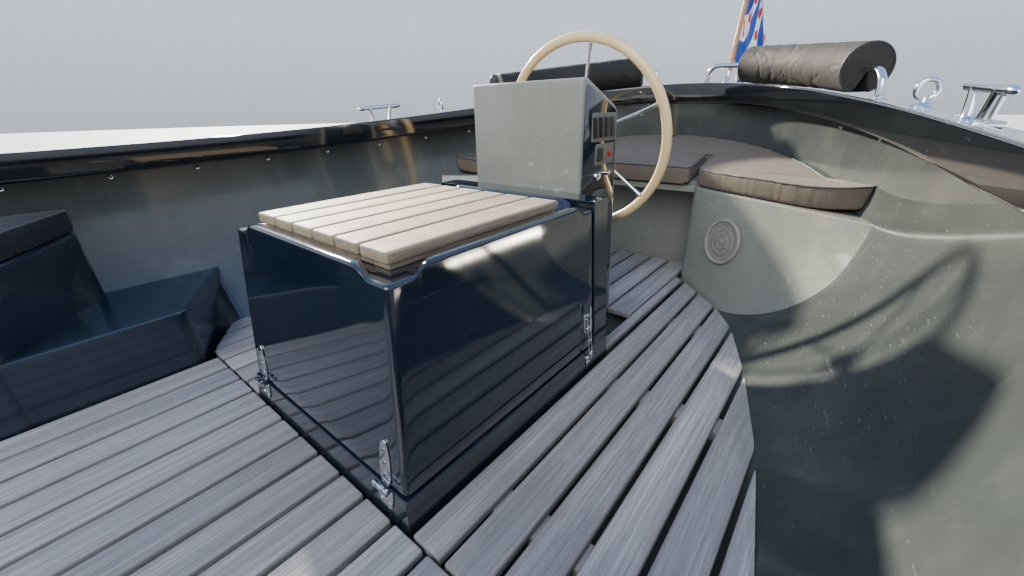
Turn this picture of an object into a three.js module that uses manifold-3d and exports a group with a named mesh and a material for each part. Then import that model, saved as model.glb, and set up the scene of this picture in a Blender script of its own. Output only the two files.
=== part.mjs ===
// Open motor launch, 6.2 m long and 2.4 m wide, with a round stern and a hinged engine box.
// Millimetres. X points to the bow, Y to port and Z up. The origin is amidships on the
// centreline at the waterline.
import * as THREE from 'three';
import { mergeVertices } from 'three/addons/utils/BufferGeometryUtils.js';
import Module from 'manifold-3d';

const wasm = await Module();
wasm.setup();

// Gap left between pieces that touch
const GAP = 0.3;

// The hull and the open well inside it: half lengths, half beam, depth of the bottom amidships
// and at both ends, how late the bottom rises aft, and the two exponents of the section
const HULL = {
  aft: 3085, bow: 3085, beam: 1195, keel: -420, sternFoot: 60, bowFoot: 560, aftRise: 4, p: 2.4, q: 0.55,
};
const WELL = {
  aft: 2985, bow: 2930, beam: 1135, keel: -340, sternFoot: 27, bowFoot: 420, aftRise: 1.45, p: 2.8, q: 0.6,
};
const BOW_RISE = 9;

// Exponents of the plan outline at each end
const AFT_PLAN = 2.95;
const BOW_PLAN = 2.4;
const BOW_FULL = 0.72;

// Height of the gunwale top over the waterline: amidships, and how far each end rises
const SHEER = 690;
const SHEER_AFT = 170;
const SHEER_BOW = 340;
const SHEER_SPAN = 2900;

// Gunwale ring: its top falls outwards by the camber
const GUNWALE = { aft: 3100, bow: 3100, beam: 1210, depth: 85, camber: 24 };
const GUNWALE_IN = { aft: 2920, bow: 2880, beam: 1060 };

// Rubbing strake round the hull, below the gunwale
const STRAKE_DROP = 165;
const STRAKE_HEIGHT = 60;
const STRAKE_PROUD = 34;

// Sole and floor boards
const SOLE = 10;
const SOLE_SKIN = 30;
const FLOOR = 60;
const BOARD = 22;
const BOARD_PITCH = 94;
const BOARD_GAP = 12;
const BATTEN = 60;

// Engine box: its front and sides lean inwards by the drafts from the floor to the top
const BOX_FRONT = -829;
const BOX_AFT = -1530;
const BOX_END = -1612;
const BOX_HALF = 334;
const BOX_SEAM = 70;
const BOX_TOP = 472;
const BOX_LIP = 491;
const SIDE_DRAFT = 30;
const FRONT_DRAFT = 46;
const BOX_WALL = 25;
const SEAT = { front: -915, aft: -1430, half: 256, top: 508, board: 24, boards: 6, slit: 6 };
const HINGE = { x: -821, y: 270, z: 70, half: 24, middle: 12, pin: 6, top: 172, foot: 16 };
const LATCH = { x: -1490, half: 17, tongue: 9, top: 210, foot: 78, catchTop: 60, catchFoot: 16 };
const ENGINE = { x0: -1440, x1: -930, half: 200, foot: -150, top: 380 };

// Well in the sole under the engine
const ENGINE_WELL = { x0: -1500, x1: -880, half: 240 };

// Steering console
const CONSOLE_FRONT = -1616;
const CONSOLE_TOP = 797;
const CONSOLE_HALF = 205;
const CONSOLE_BACK = { topX: -1832, topZ: 722, footX: -1895, footZ: -50 };
const SWITCHES = { x0: -1820, x1: -1672, z0: 628, z1: 708, deep: 8 };
const INSTRUMENTS = { x0: -1818, x1: -1700, z0: 560, z1: 622, deep: 6 };
const THROTTLE = { x: -1745, z: 645, half: 45, deep: 26, lever: 8, knob: 17, top: 836 };

// Steering wheel
const WHEEL = { x: -1965, z: 620, radius: 322, rim: 16, lean: 9, spokes: 6, turn: 9 };

// Benches
const BENCH_TOP = 390;
const STEP_TOP = 180;
const BENCH_IN = 652;
const CUSHION = 72;

// Aft bench: its top is level as far as a line across the boat, and slopes up from there
const AFT_TOP = 405;
const AFT_LEVEL = -2380;
const AFT_SLOPE = 0.175;
const AFT_LIP = 26;
const RISER = -2610;

// Keel, propeller and rudder
const KEEL_FOOT = -660;
const KEEL_HALF = 32;
const HEEL_TOP = KEEL_FOOT + 50;
const PROP = { x: -2205, z: -478, radius: 119, hub: 28, blades: 3 };
const RUDDER_X = -2440;
const RUDDER_CLEAR = 18;

// Slits in the aft cushion: at the two corners by the feet and at the stern
const SLIT = { y: 290, width: 30, end: -2630, stern: -2800 };

// Loudspeakers in the aft bench's front
const SPEAKER = { x: -2282, y: 480, z: 227, out: [0.805, -0.578, 0.137], radius: 90, deep: 30, proud: 13 };

// Colours and finishes of the materials
const FINISH = {
  liner: { color: 0x3a4140, roughness: 0.25, metalness: 0 },
  hull: { color: 0x23292a, roughness: 0.2, metalness: 0 },
  black: { color: 0x0c0e10, roughness: 0.15, metalness: 0 },
  rubber: { color: 0x1a1a1a, roughness: 0.8, metalness: 0 },
  teak: { color: 0x9a8a76, roughness: 0.75, metalness: 0 },
  seatTeak: { color: 0xb89a74, roughness: 0.7, metalness: 0 },
  cushion: { color: 0x6a635b, roughness: 0.9, metalness: 0 },
  darkCushion: { color: 0x1c1d20, roughness: 0.85, metalness: 0 },
  steel: { color: 0xc8ccd0, roughness: 0.15, metalness: 1 },
  cream: { color: 0xe9d9b0, roughness: 0.4, metalness: 0 },
  iron: { color: 0x4c5a55, roughness: 0.6, metalness: 0.3 },
  bronze: { color: 0xa8793c, roughness: 0.35, metalness: 1 },
  wood: { color: 0xc98a3a, roughness: 0.3, metalness: 0 },
  flag: { color: 0x1f4fa8, roughness: 0.9, metalness: 0 },
};

const boat = new THREE.Group();
boat.name = 'open_motor_launch';

// Solids

// A closed geometry as a solid that can be joined and cut
function solid(geometry) {
  const bare = geometry.index ? geometry.toNonIndexed() : geometry.clone();
  bare.deleteAttribute('normal');
  bare.deleteAttribute('uv');
  const merged = mergeVertices(bare, 1e-3);
  return new wasm.Manifold(new wasm.Mesh({
    numProp: 3,
    vertProperties: new Float32Array(merged.attributes.position.array),
    triVerts: new Uint32Array(merged.index.array),
  }));
}

// A solid back as a geometry
function geometryOf(body) {
  const mesh = body.getMesh();
  const geometry = new THREE.BufferGeometry();
  geometry.setAttribute('position', new THREE.BufferAttribute(new Float32Array(mesh.vertProperties), 3));
  geometry.setIndex(new THREE.BufferAttribute(new Uint32Array(mesh.triVerts), 1));
  geometry.computeVertexNormals();
  return geometry;
}

function addMesh(name, body, finish) {
  const mesh = new THREE.Mesh(geometryOf(body), new THREE.MeshStandardMaterial(FINISH[finish]));
  mesh.name = name;
  boat.add(mesh);
}

function block(x0, x1, y0, y1, z0, z1) {
  const box = new THREE.BoxGeometry(x1 - x0, y1 - y0, z1 - z0);
  box.translate((x0 + x1) / 2, (y0 + y1) / 2, (z0 + z1) / 2);
  return solid(box);
}

// A plan outline of [x, y] points raised from z0 to z1
function plate(outline, z0, z1) {
  const shape = new THREE.Shape(outline.map(([x, y]) => new THREE.Vector2(x, y)));
  const geometry = new THREE.ExtrudeGeometry(shape, { depth: z1 - z0, bevelEnabled: false });
  geometry.translate(0, 0, z0);
  return solid(geometry);
}

// A side profile of [x, z] points carried across from y0 to y1
function sidePlate(profile, y0, y1) {
  const shape = new THREE.Shape(profile.map(([x, z]) => new THREE.Vector2(x, z)));
  const geometry = new THREE.ExtrudeGeometry(shape, { depth: y1 - y0, bevelEnabled: false });
  geometry.rotateX(Math.PI / 2);
  geometry.translate(0, y1, 0);
  return solid(geometry);
}

// A round bar between two points
function bar(from, to, radius, sides = 16) {
  const a = new THREE.Vector3(...from);
  const b = new THREE.Vector3(...to);
  const rod = new THREE.CylinderGeometry(radius, radius, a.distanceTo(b), sides);
  const turn = new THREE.Quaternion();
  turn.setFromUnitVectors(new THREE.Vector3(0, 1, 0), b.clone().sub(a).normalize());
  rod.applyQuaternion(turn);
  rod.translate((a.x + b.x) / 2, (a.y + b.y) / 2, (a.z + b.z) / 2);
  return solid(rod);
}

// A bent bar through a list of points
function bentBar(points, radius, sides = 12, steps = 24) {
  const path = new THREE.CatmullRomCurve3(points.map((p) => new THREE.Vector3(...p)), false, 'centripetal');
  const circle = new THREE.Shape();
  circle.absarc(0, 0, radius, 0, Math.PI * 2);
  const geometry = new THREE.ExtrudeGeometry(circle, {
    steps, extrudePath: path, bevelEnabled: false, curveSegments: sides / 2,
  });
  return solid(geometry);
}

// Rings of equal length joined by faces and closed at both ends
function loft(rings) {
  const count = rings[0].length;
  const points = [];
  const faces = [];
  for (const ring of rings) for (const p of ring) points.push(...p);
  for (let i = 0; i + 1 < rings.length; i += 1) {
    for (let j = 0; j < count; j += 1) {
      const k = (j + 1) % count;
      const a = i * count + j;
      const b = i * count + k;
      const c = (i + 1) * count + k;
      const d = (i + 1) * count + j;
      faces.push(a, b, c, a, c, d);
    }
  }
  for (const [ring, flip] of [[0, true], [rings.length - 1, false]]) {
    const middle = points.length / 3;
    const mean = [0, 1, 2].map((n) => rings[ring].reduce((sum, p) => sum + p[n], 0) / count);
    points.push(...mean);
    for (let j = 0; j < count; j += 1) {
      const a = ring * count + j;
      const b = ring * count + ((j + 1) % count);
      if (flip) faces.push(middle, b, a);
      else faces.push(middle, a, b);
    }
  }
  return facesUp(points, faces);
}

// Rings of equal length joined into a closed loop
function loop(rings) {
  const count = rings[0].length;
  const points = [];
  const faces = [];
  for (const ring of rings) for (const p of ring) points.push(...p);
  for (let i = 0; i < rings.length; i += 1) {
    const next = (i + 1) % rings.length;
    for (let j = 0; j < count; j += 1) {
      const k = (j + 1) % count;
      faces.push(i * count + j, i * count + k, next * count + k);
      faces.push(i * count + j, next * count + k, next * count + j);
    }
  }
  return facesUp(points, faces);
}

// Points and faces as a solid, turned so that its faces point out
function facesUp(points, faces) {
  const geometry = new THREE.BufferGeometry();
  geometry.setAttribute('position', new THREE.BufferAttribute(new Float32Array(points), 3));
  let volume = 0;
  const corner = (n) => new THREE.Vector3(...points.slice(n * 3, n * 3 + 3));
  for (let i = 0; i < faces.length; i += 3) {
    const [a, b, c] = [corner(faces[i]), corner(faces[i + 1]), corner(faces[i + 2])];
    volume += a.dot(b.cross(c));
  }
  const order = [];
  for (let i = 0; i < faces.length; i += 3) {
    if (volume > 0) order.push(faces[i], faces[i + 1], faces[i + 2]);
    else order.push(faces[i], faces[i + 2], faces[i + 1]);
  }
  geometry.setIndex(order);
  return solid(geometry);
}

function join(bodies) {
  return bodies.reduce((whole, next) => whole.add(next));
}

const mirrored = (outline) => outline.map(([x, y]) => [x, -y]);
const up = (height) => FLOOR + height;

// Hull form

// A point of a plan outline: angle 0 is the end, a right angle is amidships
function planPoint(form, angle, aft) {
  const c = Math.cos(angle);
  const s = Math.sin(angle);
  if (aft) return [-form.aft * c ** (2 / AFT_PLAN), form.beam * s];
  return [form.bow * c ** (2 / BOW_PLAN), form.beam * s ** (2 * BOW_FULL)];
}

function sheerAt(x) {
  if (x < 0) return SHEER + SHEER_AFT * (-x / SHEER_SPAN) ** 2.4;
  return SHEER + SHEER_BOW * (x / SHEER_SPAN) ** 2;
}

function keelAt(form, x) {
  if (x < 0) return form.keel + (form.sternFoot - form.keel) * (-x / form.aft) ** form.aftRise;
  return form.keel + (form.bowFoot - form.keel) * (x / form.bow) ** BOW_RISE;
}

// Angles of the stations in degrees, from the end to amidships
const STATIONS = [1.5, 6, 12, 19, 27, 36, 46, 58, 73, 90];
const BOW_STATIONS = [5, 9, 14, 21, 29, 39, 50, 63, 76];
const DEPTHS = [0, 0.18, 0.36, 0.52, 0.66, 0.78, 0.88, 0.95, 0.985, 1];

// The moulded form from the keel to a height over the sheer, grown outwards by grow
function formSolid(form, grow, topOver) {
  const grown = { ...form, aft: form.aft + grow, bow: form.bow + grow, beam: form.beam + grow };
  const places = STATIONS.map((a) => planPoint(grown, THREE.MathUtils.degToRad(a), true));
  for (const a of [...BOW_STATIONS].reverse()) {
    places.push(planPoint(grown, THREE.MathUtils.degToRad(a), false));
  }
  const rings = places.map(([x, half]) => {
    const top = sheerAt(x);
    const foot = keelAt(form, x) - grow;
    const side = DEPTHS.map((s) => [half * Math.max(1 - s ** form.p, 0) ** form.q, top - (top - foot) * s]);
    const port = [[x, half, top + topOver], ...side.slice(topOver > 0 ? 0 : 1).map(([y, z]) => [x, y, z])];
    const starboard = port.slice(0, -1).reverse().map(([, y, z]) => [x, -y, z]);
    return [...port, ...starboard];
  });
  return loft(rings);
}

const hullForm = (grow) => formSolid(HULL, grow, -40);

// The open space inside, down to the sole and into the well under the engine
function wellForm(grow) {
  const inside = formSolid(WELL, grow, 300);
  const room = block(-3200, 3200, -1300, 1300, SOLE - grow, 2000);
  const { x0, x1, half } = ENGINE_WELL;
  const engineWell = block(x0 - grow, x1 + grow, -half - grow, half + grow, ENGINE.foot - grow, 400);
  return inside.intersect(room).add(engineWell);
}

// Ring between two plan outlines, from low to high under the sheer, its outer top lower by camber
function sheerRing(outer, inner, high, low, camber = 0, count = 72) {
  const rings = [];
  for (let i = 0; i < count; i += 1) {
    const turn = (i / count) * Math.PI * 2;
    const angle = Math.acos(Math.min(Math.abs(Math.cos(turn)), 1));
    const aft = Math.cos(turn) < 0;
    const sign = Math.sin(turn) < 0 ? -1 : 1;
    const [xo, yo] = planPoint(outer, angle, aft);
    const [xi, yi] = planPoint(inner, angle, aft);
    const z = sheerAt(xo);
    rings.push([[xo, sign * yo, z - high - camber], [xi, sign * yi, z - high],
      [xi, sign * yi, z - low], [xo, sign * yo, z - low]]);
  }
  return loop(rings);
}

const grownBy = (outline, grow) => ({
  aft: outline.aft + grow, bow: outline.bow + grow, beam: outline.beam + grow,
});

const gunwaleForm = (grow) => sheerRing(
  grownBy(GUNWALE, grow), grownBy(GUNWALE_IN, -grow), -grow, GUNWALE.depth + grow, GUNWALE.camber,
);

function addHull() {
  const gunwaleRoom = gunwaleForm(GAP);
  const skin = hullForm(0).subtract(wellForm(SOLE_SKIN + GAP)).subtract(gunwaleRoom);
  addMesh('hull_shell', skin, 'hull');
  const liner = wellForm(SOLE_SKIN).intersect(hullForm(-12)).subtract(wellForm(0))
    .subtract(gunwaleRoom);
  addMesh('inner_liner', liner, 'liner');
  addMesh('gunwale', gunwaleForm(0), 'black');
  const strake = sheerRing(grownBy(HULL, STRAKE_PROUD), grownBy(HULL, -90),
    STRAKE_DROP, STRAKE_DROP + STRAKE_HEIGHT).subtract(hullForm(GAP));
  addMesh('rubbing_strake', strake, 'rubber');
}

const DECK = { start: 2180, drop: 22, thick: 26 };

// Everything lower than a drop under the sheer
const underSheer = (drop) => formSolid({ ...HULL, bow: 3400, beam: 1500, bowFoot: -420 }, 0, -drop);

function addForedeck() {
  const room = block(DECK.start, 3200, -1300, 1300, 500, 1300);
  const shelf = formSolid(WELL, -GAP, 300).intersect(room).intersect(underSheer(DECK.drop))
    .subtract(underSheer(DECK.drop + DECK.thick)).subtract(gunwaleForm(GAP));
  addMesh('foredeck', shelf, 'liner');
}

// Benches and steps, cut to the inside of the liner

const SEAT_OUTLINE = [
  [-415, BENCH_IN], [1250, BENCH_IN], [1760, 330], [1760, -330], [1250, -BENCH_IN], [-415, -BENCH_IN],
  [-655, -1048], [-655, -1300], [3200, -1300], [3200, 1300], [-655, 1300], [-655, 1048],
];
const STEP_OUTLINE = [[-785, 654], [-380, 654], [-640, 1080], [-640, 1300], [-1174, 1300]];

function addForwardBench() {
  const inside = wellForm(-GAP);
  const bench = plate(SEAT_OUTLINE, SOLE + GAP, up(BENCH_TOP)).intersect(inside);
  addMesh('forward_bench', bench, 'liner');
  const seatRoom = plate(SEAT_OUTLINE, 0, 1000);
  for (const [side, outline] of [['port', STEP_OUTLINE], ['starboard', mirrored(STEP_OUTLINE)]]) {
    const step = plate(outline, SOLE + GAP, up(STEP_TOP)).subtract(seatRoom.translate([-GAP, 0, 0]));
    addMesh(`step_${side}`, step.intersect(inside), 'liner');
  }
}

// Front of a wing of the aft bench, from the corner by the feet out past the liner: [x, y] at the
// floor and at the top, with the panel ruled between them
const WING_FRONT = [
  { foot: [-2440, 297], top: [-2440, 297] },
  { foot: [-2405, 310], top: [-2416, 312] },
  { foot: [-2072, 623], top: [-2065, 900] },
  { foot: [-1380, 1300], top: [-1829, 1300] },
];
const RECESS_HALF = 297;

// Everything below the aft bench's top, raised by rise
function underAftTop(rise) {
  const high = up(AFT_TOP) + rise;
  return sidePlate([[-1300, -500], [-1300, high], [AFT_LEVEL, high],
    [-3300, high + AFT_SLOPE * (3300 + AFT_LEVEL)], [-3300, -500]], -1400, 1400);
}

// Everything behind the fronts of the aft bench, moved forward by ahead
function behindWings(ahead) {
  return loft([-60, 180, AFT_TOP, AFT_TOP + 300].map((height) => {
    const share = height / AFT_TOP;
    const port = WING_FRONT.map(({ foot, top }) => foot.map((f, n) => f + (top[n] - f) * share));
    const outline = [...port, [-3300, 1300], [-3300, -1300], ...[...mirrored(port)].reverse()];
    return outline.map(([x, y]) => [x + ahead, y, up(height)]);
  }));
}

function addAftBench() {
  const recess = block(RISER, -2300, -RECESS_HALF, RECESS_HALF, 0, up(AFT_TOP - AFT_LIP));
  const bench = behindWings(0).intersect(wellForm(-GAP)).intersect(underAftTop(0)).subtract(recess)
    .intersect(block(-3300, -1300, -1300, 1300, SOLE + GAP, 2000));
  addMesh('aft_bench', bench, 'liner');
  for (const [side, sign] of [['port', 1], ['starboard', -1]]) {
    const middle = new THREE.Vector3(SPEAKER.x, sign * SPEAKER.y, up(SPEAKER.z));
    const out = new THREE.Vector3(SPEAKER.out[0], sign * SPEAKER.out[1], SPEAKER.out[2]).normalize();
    const a = middle.clone().addScaledVector(out, -SPEAKER.deep);
    const b = middle.clone().addScaledVector(out, SPEAKER.proud);
    const grille = bar(a.toArray(), b.toArray(), SPEAKER.radius, 32);
    const gap = out.clone().multiplyScalar(GAP);
    addMesh(`speaker_${side}`, grille.subtract(bench.translate(gap.toArray())), 'iron');
  }
}

// Floor boards run fore and aft and are joined by battens below them

// The first slit between boards is at y = first, and the others follow at the boards' pitch
function floorPanel(outline, battens, first) {
  const area = plate(outline, SOLE + GAP, FLOOR);
  const xs = outline.map((p) => p[0]);
  const ys = outline.map((p) => p[1]);
  const [x0, x1, y0, y1] = [Math.min(...xs), Math.max(...xs), Math.min(...ys), Math.max(...ys)];
  let panel = area.intersect(block(x0, x1, y0, y1, FLOOR - BOARD, FLOOR));
  for (let y = first; y < y1 - 20; y += BOARD_PITCH) {
    panel = panel.subtract(block(x0 - 1, x1 + 1, y - BOARD_GAP / 2, y + BOARD_GAP / 2, 0, 100));
  }
  for (const x of battens) {
    const batten = block(x - BATTEN / 2, x + BATTEN / 2, y0, y1, SOLE + GAP, FLOOR - BOARD + 2);
    panel = panel.add(area.intersect(batten));
  }
  return panel.intersect(formSolid(WELL, -GAP, 300));
}

function addFloor() {
  const side = [
    [-826, 346], [-826, 700], [-950, 893], [-2058, 893], [-2058, 620], [-2388, 306], [-2388, 290],
    [-1640, 290], [-1640, 346],
  ];
  const forward = [[-820, -645], [1240, -645], [1745, -325], [1745, 325], [1240, 645], [-820, 645]];
  const aft = [[-2600, -284], [-1905, -284], [-1905, 284], [-2600, 284]];
  addMesh('floor_forward', floorPanel(forward, [-700, 200, 1100], -551), 'teak');
  const port = floorPanel(side, [-1000, -1500, -1980], 331).subtract(behindWings(2 * GAP));
  addMesh('floor_port', port, 'teak');
  const starboard = port.mirror([0, 1, 0]).intersect(formSolid(WELL, -GAP, 300));
  addMesh('floor_starboard', starboard.subtract(behindWings(2 * GAP)), 'teak');
  addMesh('floor_aft', floorPanel(aft, [-2000, -2450], -190), 'teak');
}

// Engine box: a base frame with a fixed aft frame, and a hood that opens forward

function boxForm(inset, z0, z1, x0, grow = 0) {
  const rings = [z0, z1].map((z) => {
    const half = BOX_HALF - inset - (SIDE_DRAFT * z) / BOX_TOP + grow;
    const front = BOX_FRONT - inset - (FRONT_DRAFT * z) / BOX_TOP + grow;
    return [[x0, -half, up(z)], [front, -half, up(z)], [front, half, up(z)], [x0, half, up(z)]];
  });
  return loft(rings);
}

function addEngineBox() {
  const plinth = boxForm(-3, SOLE - FLOOR + GAP, BOX_SEAM - 6, BOX_END)
    .subtract(boxForm(BOX_WALL + 15, -60, 100, BOX_AFT - 6));
  const frame = boxForm(0, BOX_SEAM - 10, BOX_LIP, BOX_END)
    .intersect(block(BOX_END, BOX_AFT - 6, -400, 400, 0, 800));
  addMesh('engine_base', plinth.add(frame), 'liner');
  addMesh('engine_block', block(ENGINE.x0, ENGINE.x1, -ENGINE.half, ENGINE.half, ENGINE.foot + GAP,
    up(ENGINE.top)), 'iron');

  const shell = boxForm(0, BOX_SEAM, BOX_TOP, BOX_AFT);
  const hollow = boxForm(BOX_WALL, BOX_SEAM - 5, BOX_TOP - BOX_WALL, BOX_AFT - 10);
  const lipOut = boxForm(3, BOX_TOP - 2, BOX_LIP, BOX_AFT + 14);
  const lipIn = boxForm(23, BOX_TOP - 5, BOX_LIP + 5, BOX_AFT + 34);
  let lip = lipOut.subtract(lipIn);
  const cut = 70;
  for (const x of [BOX_FRONT - FRONT_DRAFT, BOX_AFT]) {
    for (const y of [BOX_HALF - SIDE_DRAFT, SIDE_DRAFT - BOX_HALF]) {
      lip = lip.subtract(block(x - cut, x + cut, y - cut, y + cut, up(BOX_TOP), up(BOX_LIP) + 9));
    }
  }
  addMesh('engine_hood', shell.subtract(hollow).add(lip), 'liner');
}

function addHoodSeat() {
  const { front, aft, half, board, boards, slit } = SEAT;
  const low = up(BOX_TOP) + GAP;
  const top = up(SEAT.top);
  let seat = block(aft, front, -half, half, top - board, top);
  const pitch = (2 * half) / boards;
  for (let i = 1; i < boards; i += 1) {
    const y = -half + i * pitch;
    seat = seat.subtract(block(aft - 1, front + 1, y - slit / 2, y + slit / 2, 0, 2000));
  }
  const frame = block(aft + 8, front - 8, -half + 8, half - 8, low, top - board + 2)
    .subtract(block(aft + 80, front - 80, -half + 60, half - 60, 0, 2000));
  addMesh('hood_seat', seat.add(frame), 'seatTeak');
}

// A fitting leaned with the box's side, by the box's draft and from the floor up
function leaned(body, sign) {
  const slope = (-sign * SIDE_DRAFT) / BOX_TOP;
  return body.transform([1, 0, 0, 0, 0, 1, 0, 0, 0, slope, 1, 0, 0, -slope * FLOOR, 0, 1]);
}

function addHinges() {
  const hood = boxForm(0, BOX_SEAM, BOX_TOP, BOX_AFT, GAP);
  const base = boxForm(-3, -40, BOX_SEAM - 6, BOX_END, GAP);
  const { x, z, half, middle, pin, top, foot } = HINGE;
  const side = middle + 0.4;
  const behind = BOX_FRONT - 26;
  for (const [name, sign] of [['port', 1], ['starboard', -1]]) {
    const y = sign * HINGE.y;
    const knuckle = (from, to) => bar([x, y + from, up(z)], [x, y + to, up(z)], pin, 16);
    const leafUp = join([
      sidePlate([[behind, up(BOX_SEAM + 4)], [x - 5, up(BOX_SEAM + 4)], [x - 12, up(BOX_SEAM + 26)],
        [x - 20, up(top)], [behind, up(top)]], y - half, y + half),
      block(x - 7, x + 4, y - middle, y + middle, up(z), up(BOX_SEAM + 8)),
      knuckle(-middle, middle),
    ]).subtract(hood).subtract(base);
    addMesh(`hinge_upper_${name}`, leafUp, 'steel');
    const leafLow = join([
      sidePlate([[behind, up(foot)], [x - 3, up(foot)], [x - 6, up(z - 10)], [behind, up(z - 10)]],
        y - half, y + half),
      block(x - 9, x + 4, y - half, y - side, up(z - 16), up(z)), knuckle(-half, -side),
      block(x - 9, x + 4, y + side, y + half, up(z - 16), up(z)), knuckle(side, half),
    ]).subtract(hood).subtract(base);
    addMesh(`hinge_lower_${name}`, leafLow, 'steel');
  }
}

function addLatches() {
  const hood = boxForm(0, BOX_SEAM, BOX_TOP, BOX_AFT, GAP);
  const base = boxForm(-3, -40, BOX_SEAM - 6, BOX_END, GAP);
  const { x, half, tongue, top, foot, catchTop, catchFoot } = LATCH;
  for (const [side, sign] of [['port', 1], ['starboard', -1]]) {
    const span = (inner, outer) => (sign > 0 ? [BOX_HALF + inner, BOX_HALF + outer]
      : [-BOX_HALF - outer, -BOX_HALF - inner]);
    const plateAt = (reach, outer, z0, z1) => block(x - reach, x + reach, ...span(-20, outer),
      up(z0), up(z1));
    const toggle = plateAt(half, 3, foot + 42, top).add(plateAt(tongue, 16, foot, top - 20));
    addMesh(`latch_${side}`, leaned(toggle, sign).subtract(hood).subtract(base), 'steel');
    const hook = plateAt(half - 2, 7, catchFoot, catchTop - 14)
      .add(plateAt(6, 18, catchFoot + 10, catchTop));
    addMesh(`latch_catch_${side}`, leaned(hook, sign).subtract(hood).subtract(base), 'steel');
  }
}

// Console, its panels and the steering wheel

function addConsole() {
  const { topX, topZ, footX, footZ } = CONSOLE_BACK;
  const profile = [
    [CONSOLE_FRONT, up(footZ) + GAP], [CONSOLE_FRONT, up(CONSOLE_TOP - 6)],
    [CONSOLE_FRONT - 8, up(CONSOLE_TOP)], [CONSOLE_FRONT - 26, up(CONSOLE_TOP)], [topX, up(topZ)],
    [footX, up(footZ) + GAP],
  ];
  addMesh('console', sidePlate(profile, -CONSOLE_HALF, CONSOLE_HALF), 'liner');
  const face = CONSOLE_HALF + GAP;
  const panel = ({ x0, x1, z0, z1, deep }) => block(x0, x1, face, face + deep, up(z0), up(z1));
  addMesh('switch_panel', panel(SWITCHES), 'black');
  addMesh('instrument_panel', panel(INSTRUMENTS), 'black');
  const { x, z, half, deep, lever, knob, top } = THROTTLE;
  const out = -face - deep - 8;
  const throttle = join([
    block(x - half, x + half, -face - deep, -face, up(z - half), up(z + half)),
    bar([x, -face - deep + 6, up(z)], [x, out - 6, up(z)], knob - 1),
    bar([x, out, up(z - 5)], [x - knob, out, up(top - 36)], lever),
    bar([x - knob, out, up(top - 50)], [x - knob - 2, out, up(top)], knob),
  ]);
  addMesh('throttle', throttle, 'black');
}

const lean = THREE.MathUtils.degToRad(WHEEL.lean);

// Places a solid made about its own Z axis in the wheel's plane, Z pointing aft and up
function inWheel(body) {
  const turn = new THREE.Matrix4().makeRotationY(-Math.PI / 2 + lean);
  turn.setPosition(WHEEL.x, 0, up(WHEEL.z));
  return body.transform([...turn.elements]);
}

function addWheel() {
  const turn = THREE.MathUtils.degToRad(WHEEL.turn);
  const rim = new THREE.TorusGeometry(WHEEL.radius, WHEEL.rim, 10, 36);
  rim.rotateZ(turn);
  const hubTop = new THREE.CylinderGeometry(38, 44, 34, 24);
  hubTop.rotateX(Math.PI / 2);
  hubTop.translate(0, 0, -4);
  const parts = [solid(hubTop)];
  for (let i = 0; i < WHEEL.spokes; i += 1) {
    const angle = (i / WHEEL.spokes) * Math.PI * 2 + turn;
    const tip = WHEEL.radius - WHEEL.rim - 3 * GAP;
    parts.push(bar([25 * Math.cos(angle), 25 * Math.sin(angle), -6],
      [tip * Math.cos(angle), tip * Math.sin(angle), 0], 6, 10));
  }
  addMesh('wheel_rim', inWheel(solid(rim)), 'cream');
  addMesh('wheel_spokes', inWheel(join(parts)), 'steel');
  const column = bar([0, 0, -150], [0, 0, -21 - GAP], 22, 20).add(bar([0, 0, -150], [0, 0, -100], 48, 24));
  const boss = inWheel(column);
  const consoleRoom = sidePlate([[-1500, up(0)], [-1500, up(900)], [-1700, up(850)],
    [CONSOLE_BACK.topX - GAP * 2, up(CONSOLE_BACK.topZ)],
    [CONSOLE_BACK.footX - GAP, up(CONSOLE_BACK.footZ)]], -300, 300);
  addMesh('steering_boss', boss.subtract(consoleRoom), 'black');
}

// Cushions

function addCushions() {
  const inside = wellForm(-16);
  const seatZ = up(BENCH_TOP) + GAP;
  const sideOutline = [
    [-418, 659], [1180, 659], [1180, 1300], [-658, 1300], [-658, 1056],
  ];
  for (const [side, outline] of [['port', sideOutline], ['starboard', mirrored(sideOutline)]]) {
    addMesh(`cushion_side_${side}`, plate(outline, seatZ, seatZ + CUSHION).intersect(inside), 'darkCushion');
  }
  const bow = [[1200, -1300], [2150, -1300], [2150, 1300], [1200, 1300], [1200, 690], [1775, 345],
    [1775, -345], [1200, -690]];
  addMesh('cushion_bow', plate(bow, seatZ, seatZ + CUSHION).intersect(inside), 'darkCushion');
  const wing = [[-2430, 306], [-2400, 332], [-2290, 535], [-2215, 680], [-2165, 800], [-2146, 885],
    [-2120, 1300], [-3300, 1300]];
  const outline = [[-2416, 262], ...wing, ...[...mirrored(wing)].reverse(), [-2416, -262]];
  let aft = plate(outline, 200, 1000).intersect(wellForm(-4)).intersect(underAftTop(GAP + CUSHION))
    .subtract(underAftTop(GAP));
  for (const y of [SLIT.y, -SLIT.y]) {
    aft = aft.subtract(block(SLIT.end, -2300, y - SLIT.width / 2, y + SLIT.width / 2, 0, 1000));
  }
  aft = aft.subtract(block(-3300, SLIT.stern, -SLIT.width / 2, SLIT.width / 2, 0, 1000));
  addMesh('cushion_aft', aft, 'cushion');
}

// Deck fittings, seated on the gunwale top

// Depth that a fitting's foot is drawn into the gunwale before it is cut to its top
const SEAT_IN = 12;

// A place on the gunwale top: angle in degrees from the stern, share of the way out, height over it
function onGunwale(angle, share, rise) {
  const turn = THREE.MathUtils.degToRad(angle);
  const inner = planPoint(GUNWALE_IN, turn, true);
  const outer = planPoint(GUNWALE, turn, true);
  const [x, y] = inner.map((v, n) => v + (outer[n] - v) * share);
  return [x, y, sheerAt(outer[0]) - GUNWALE.camber * share + rise];
}

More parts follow.
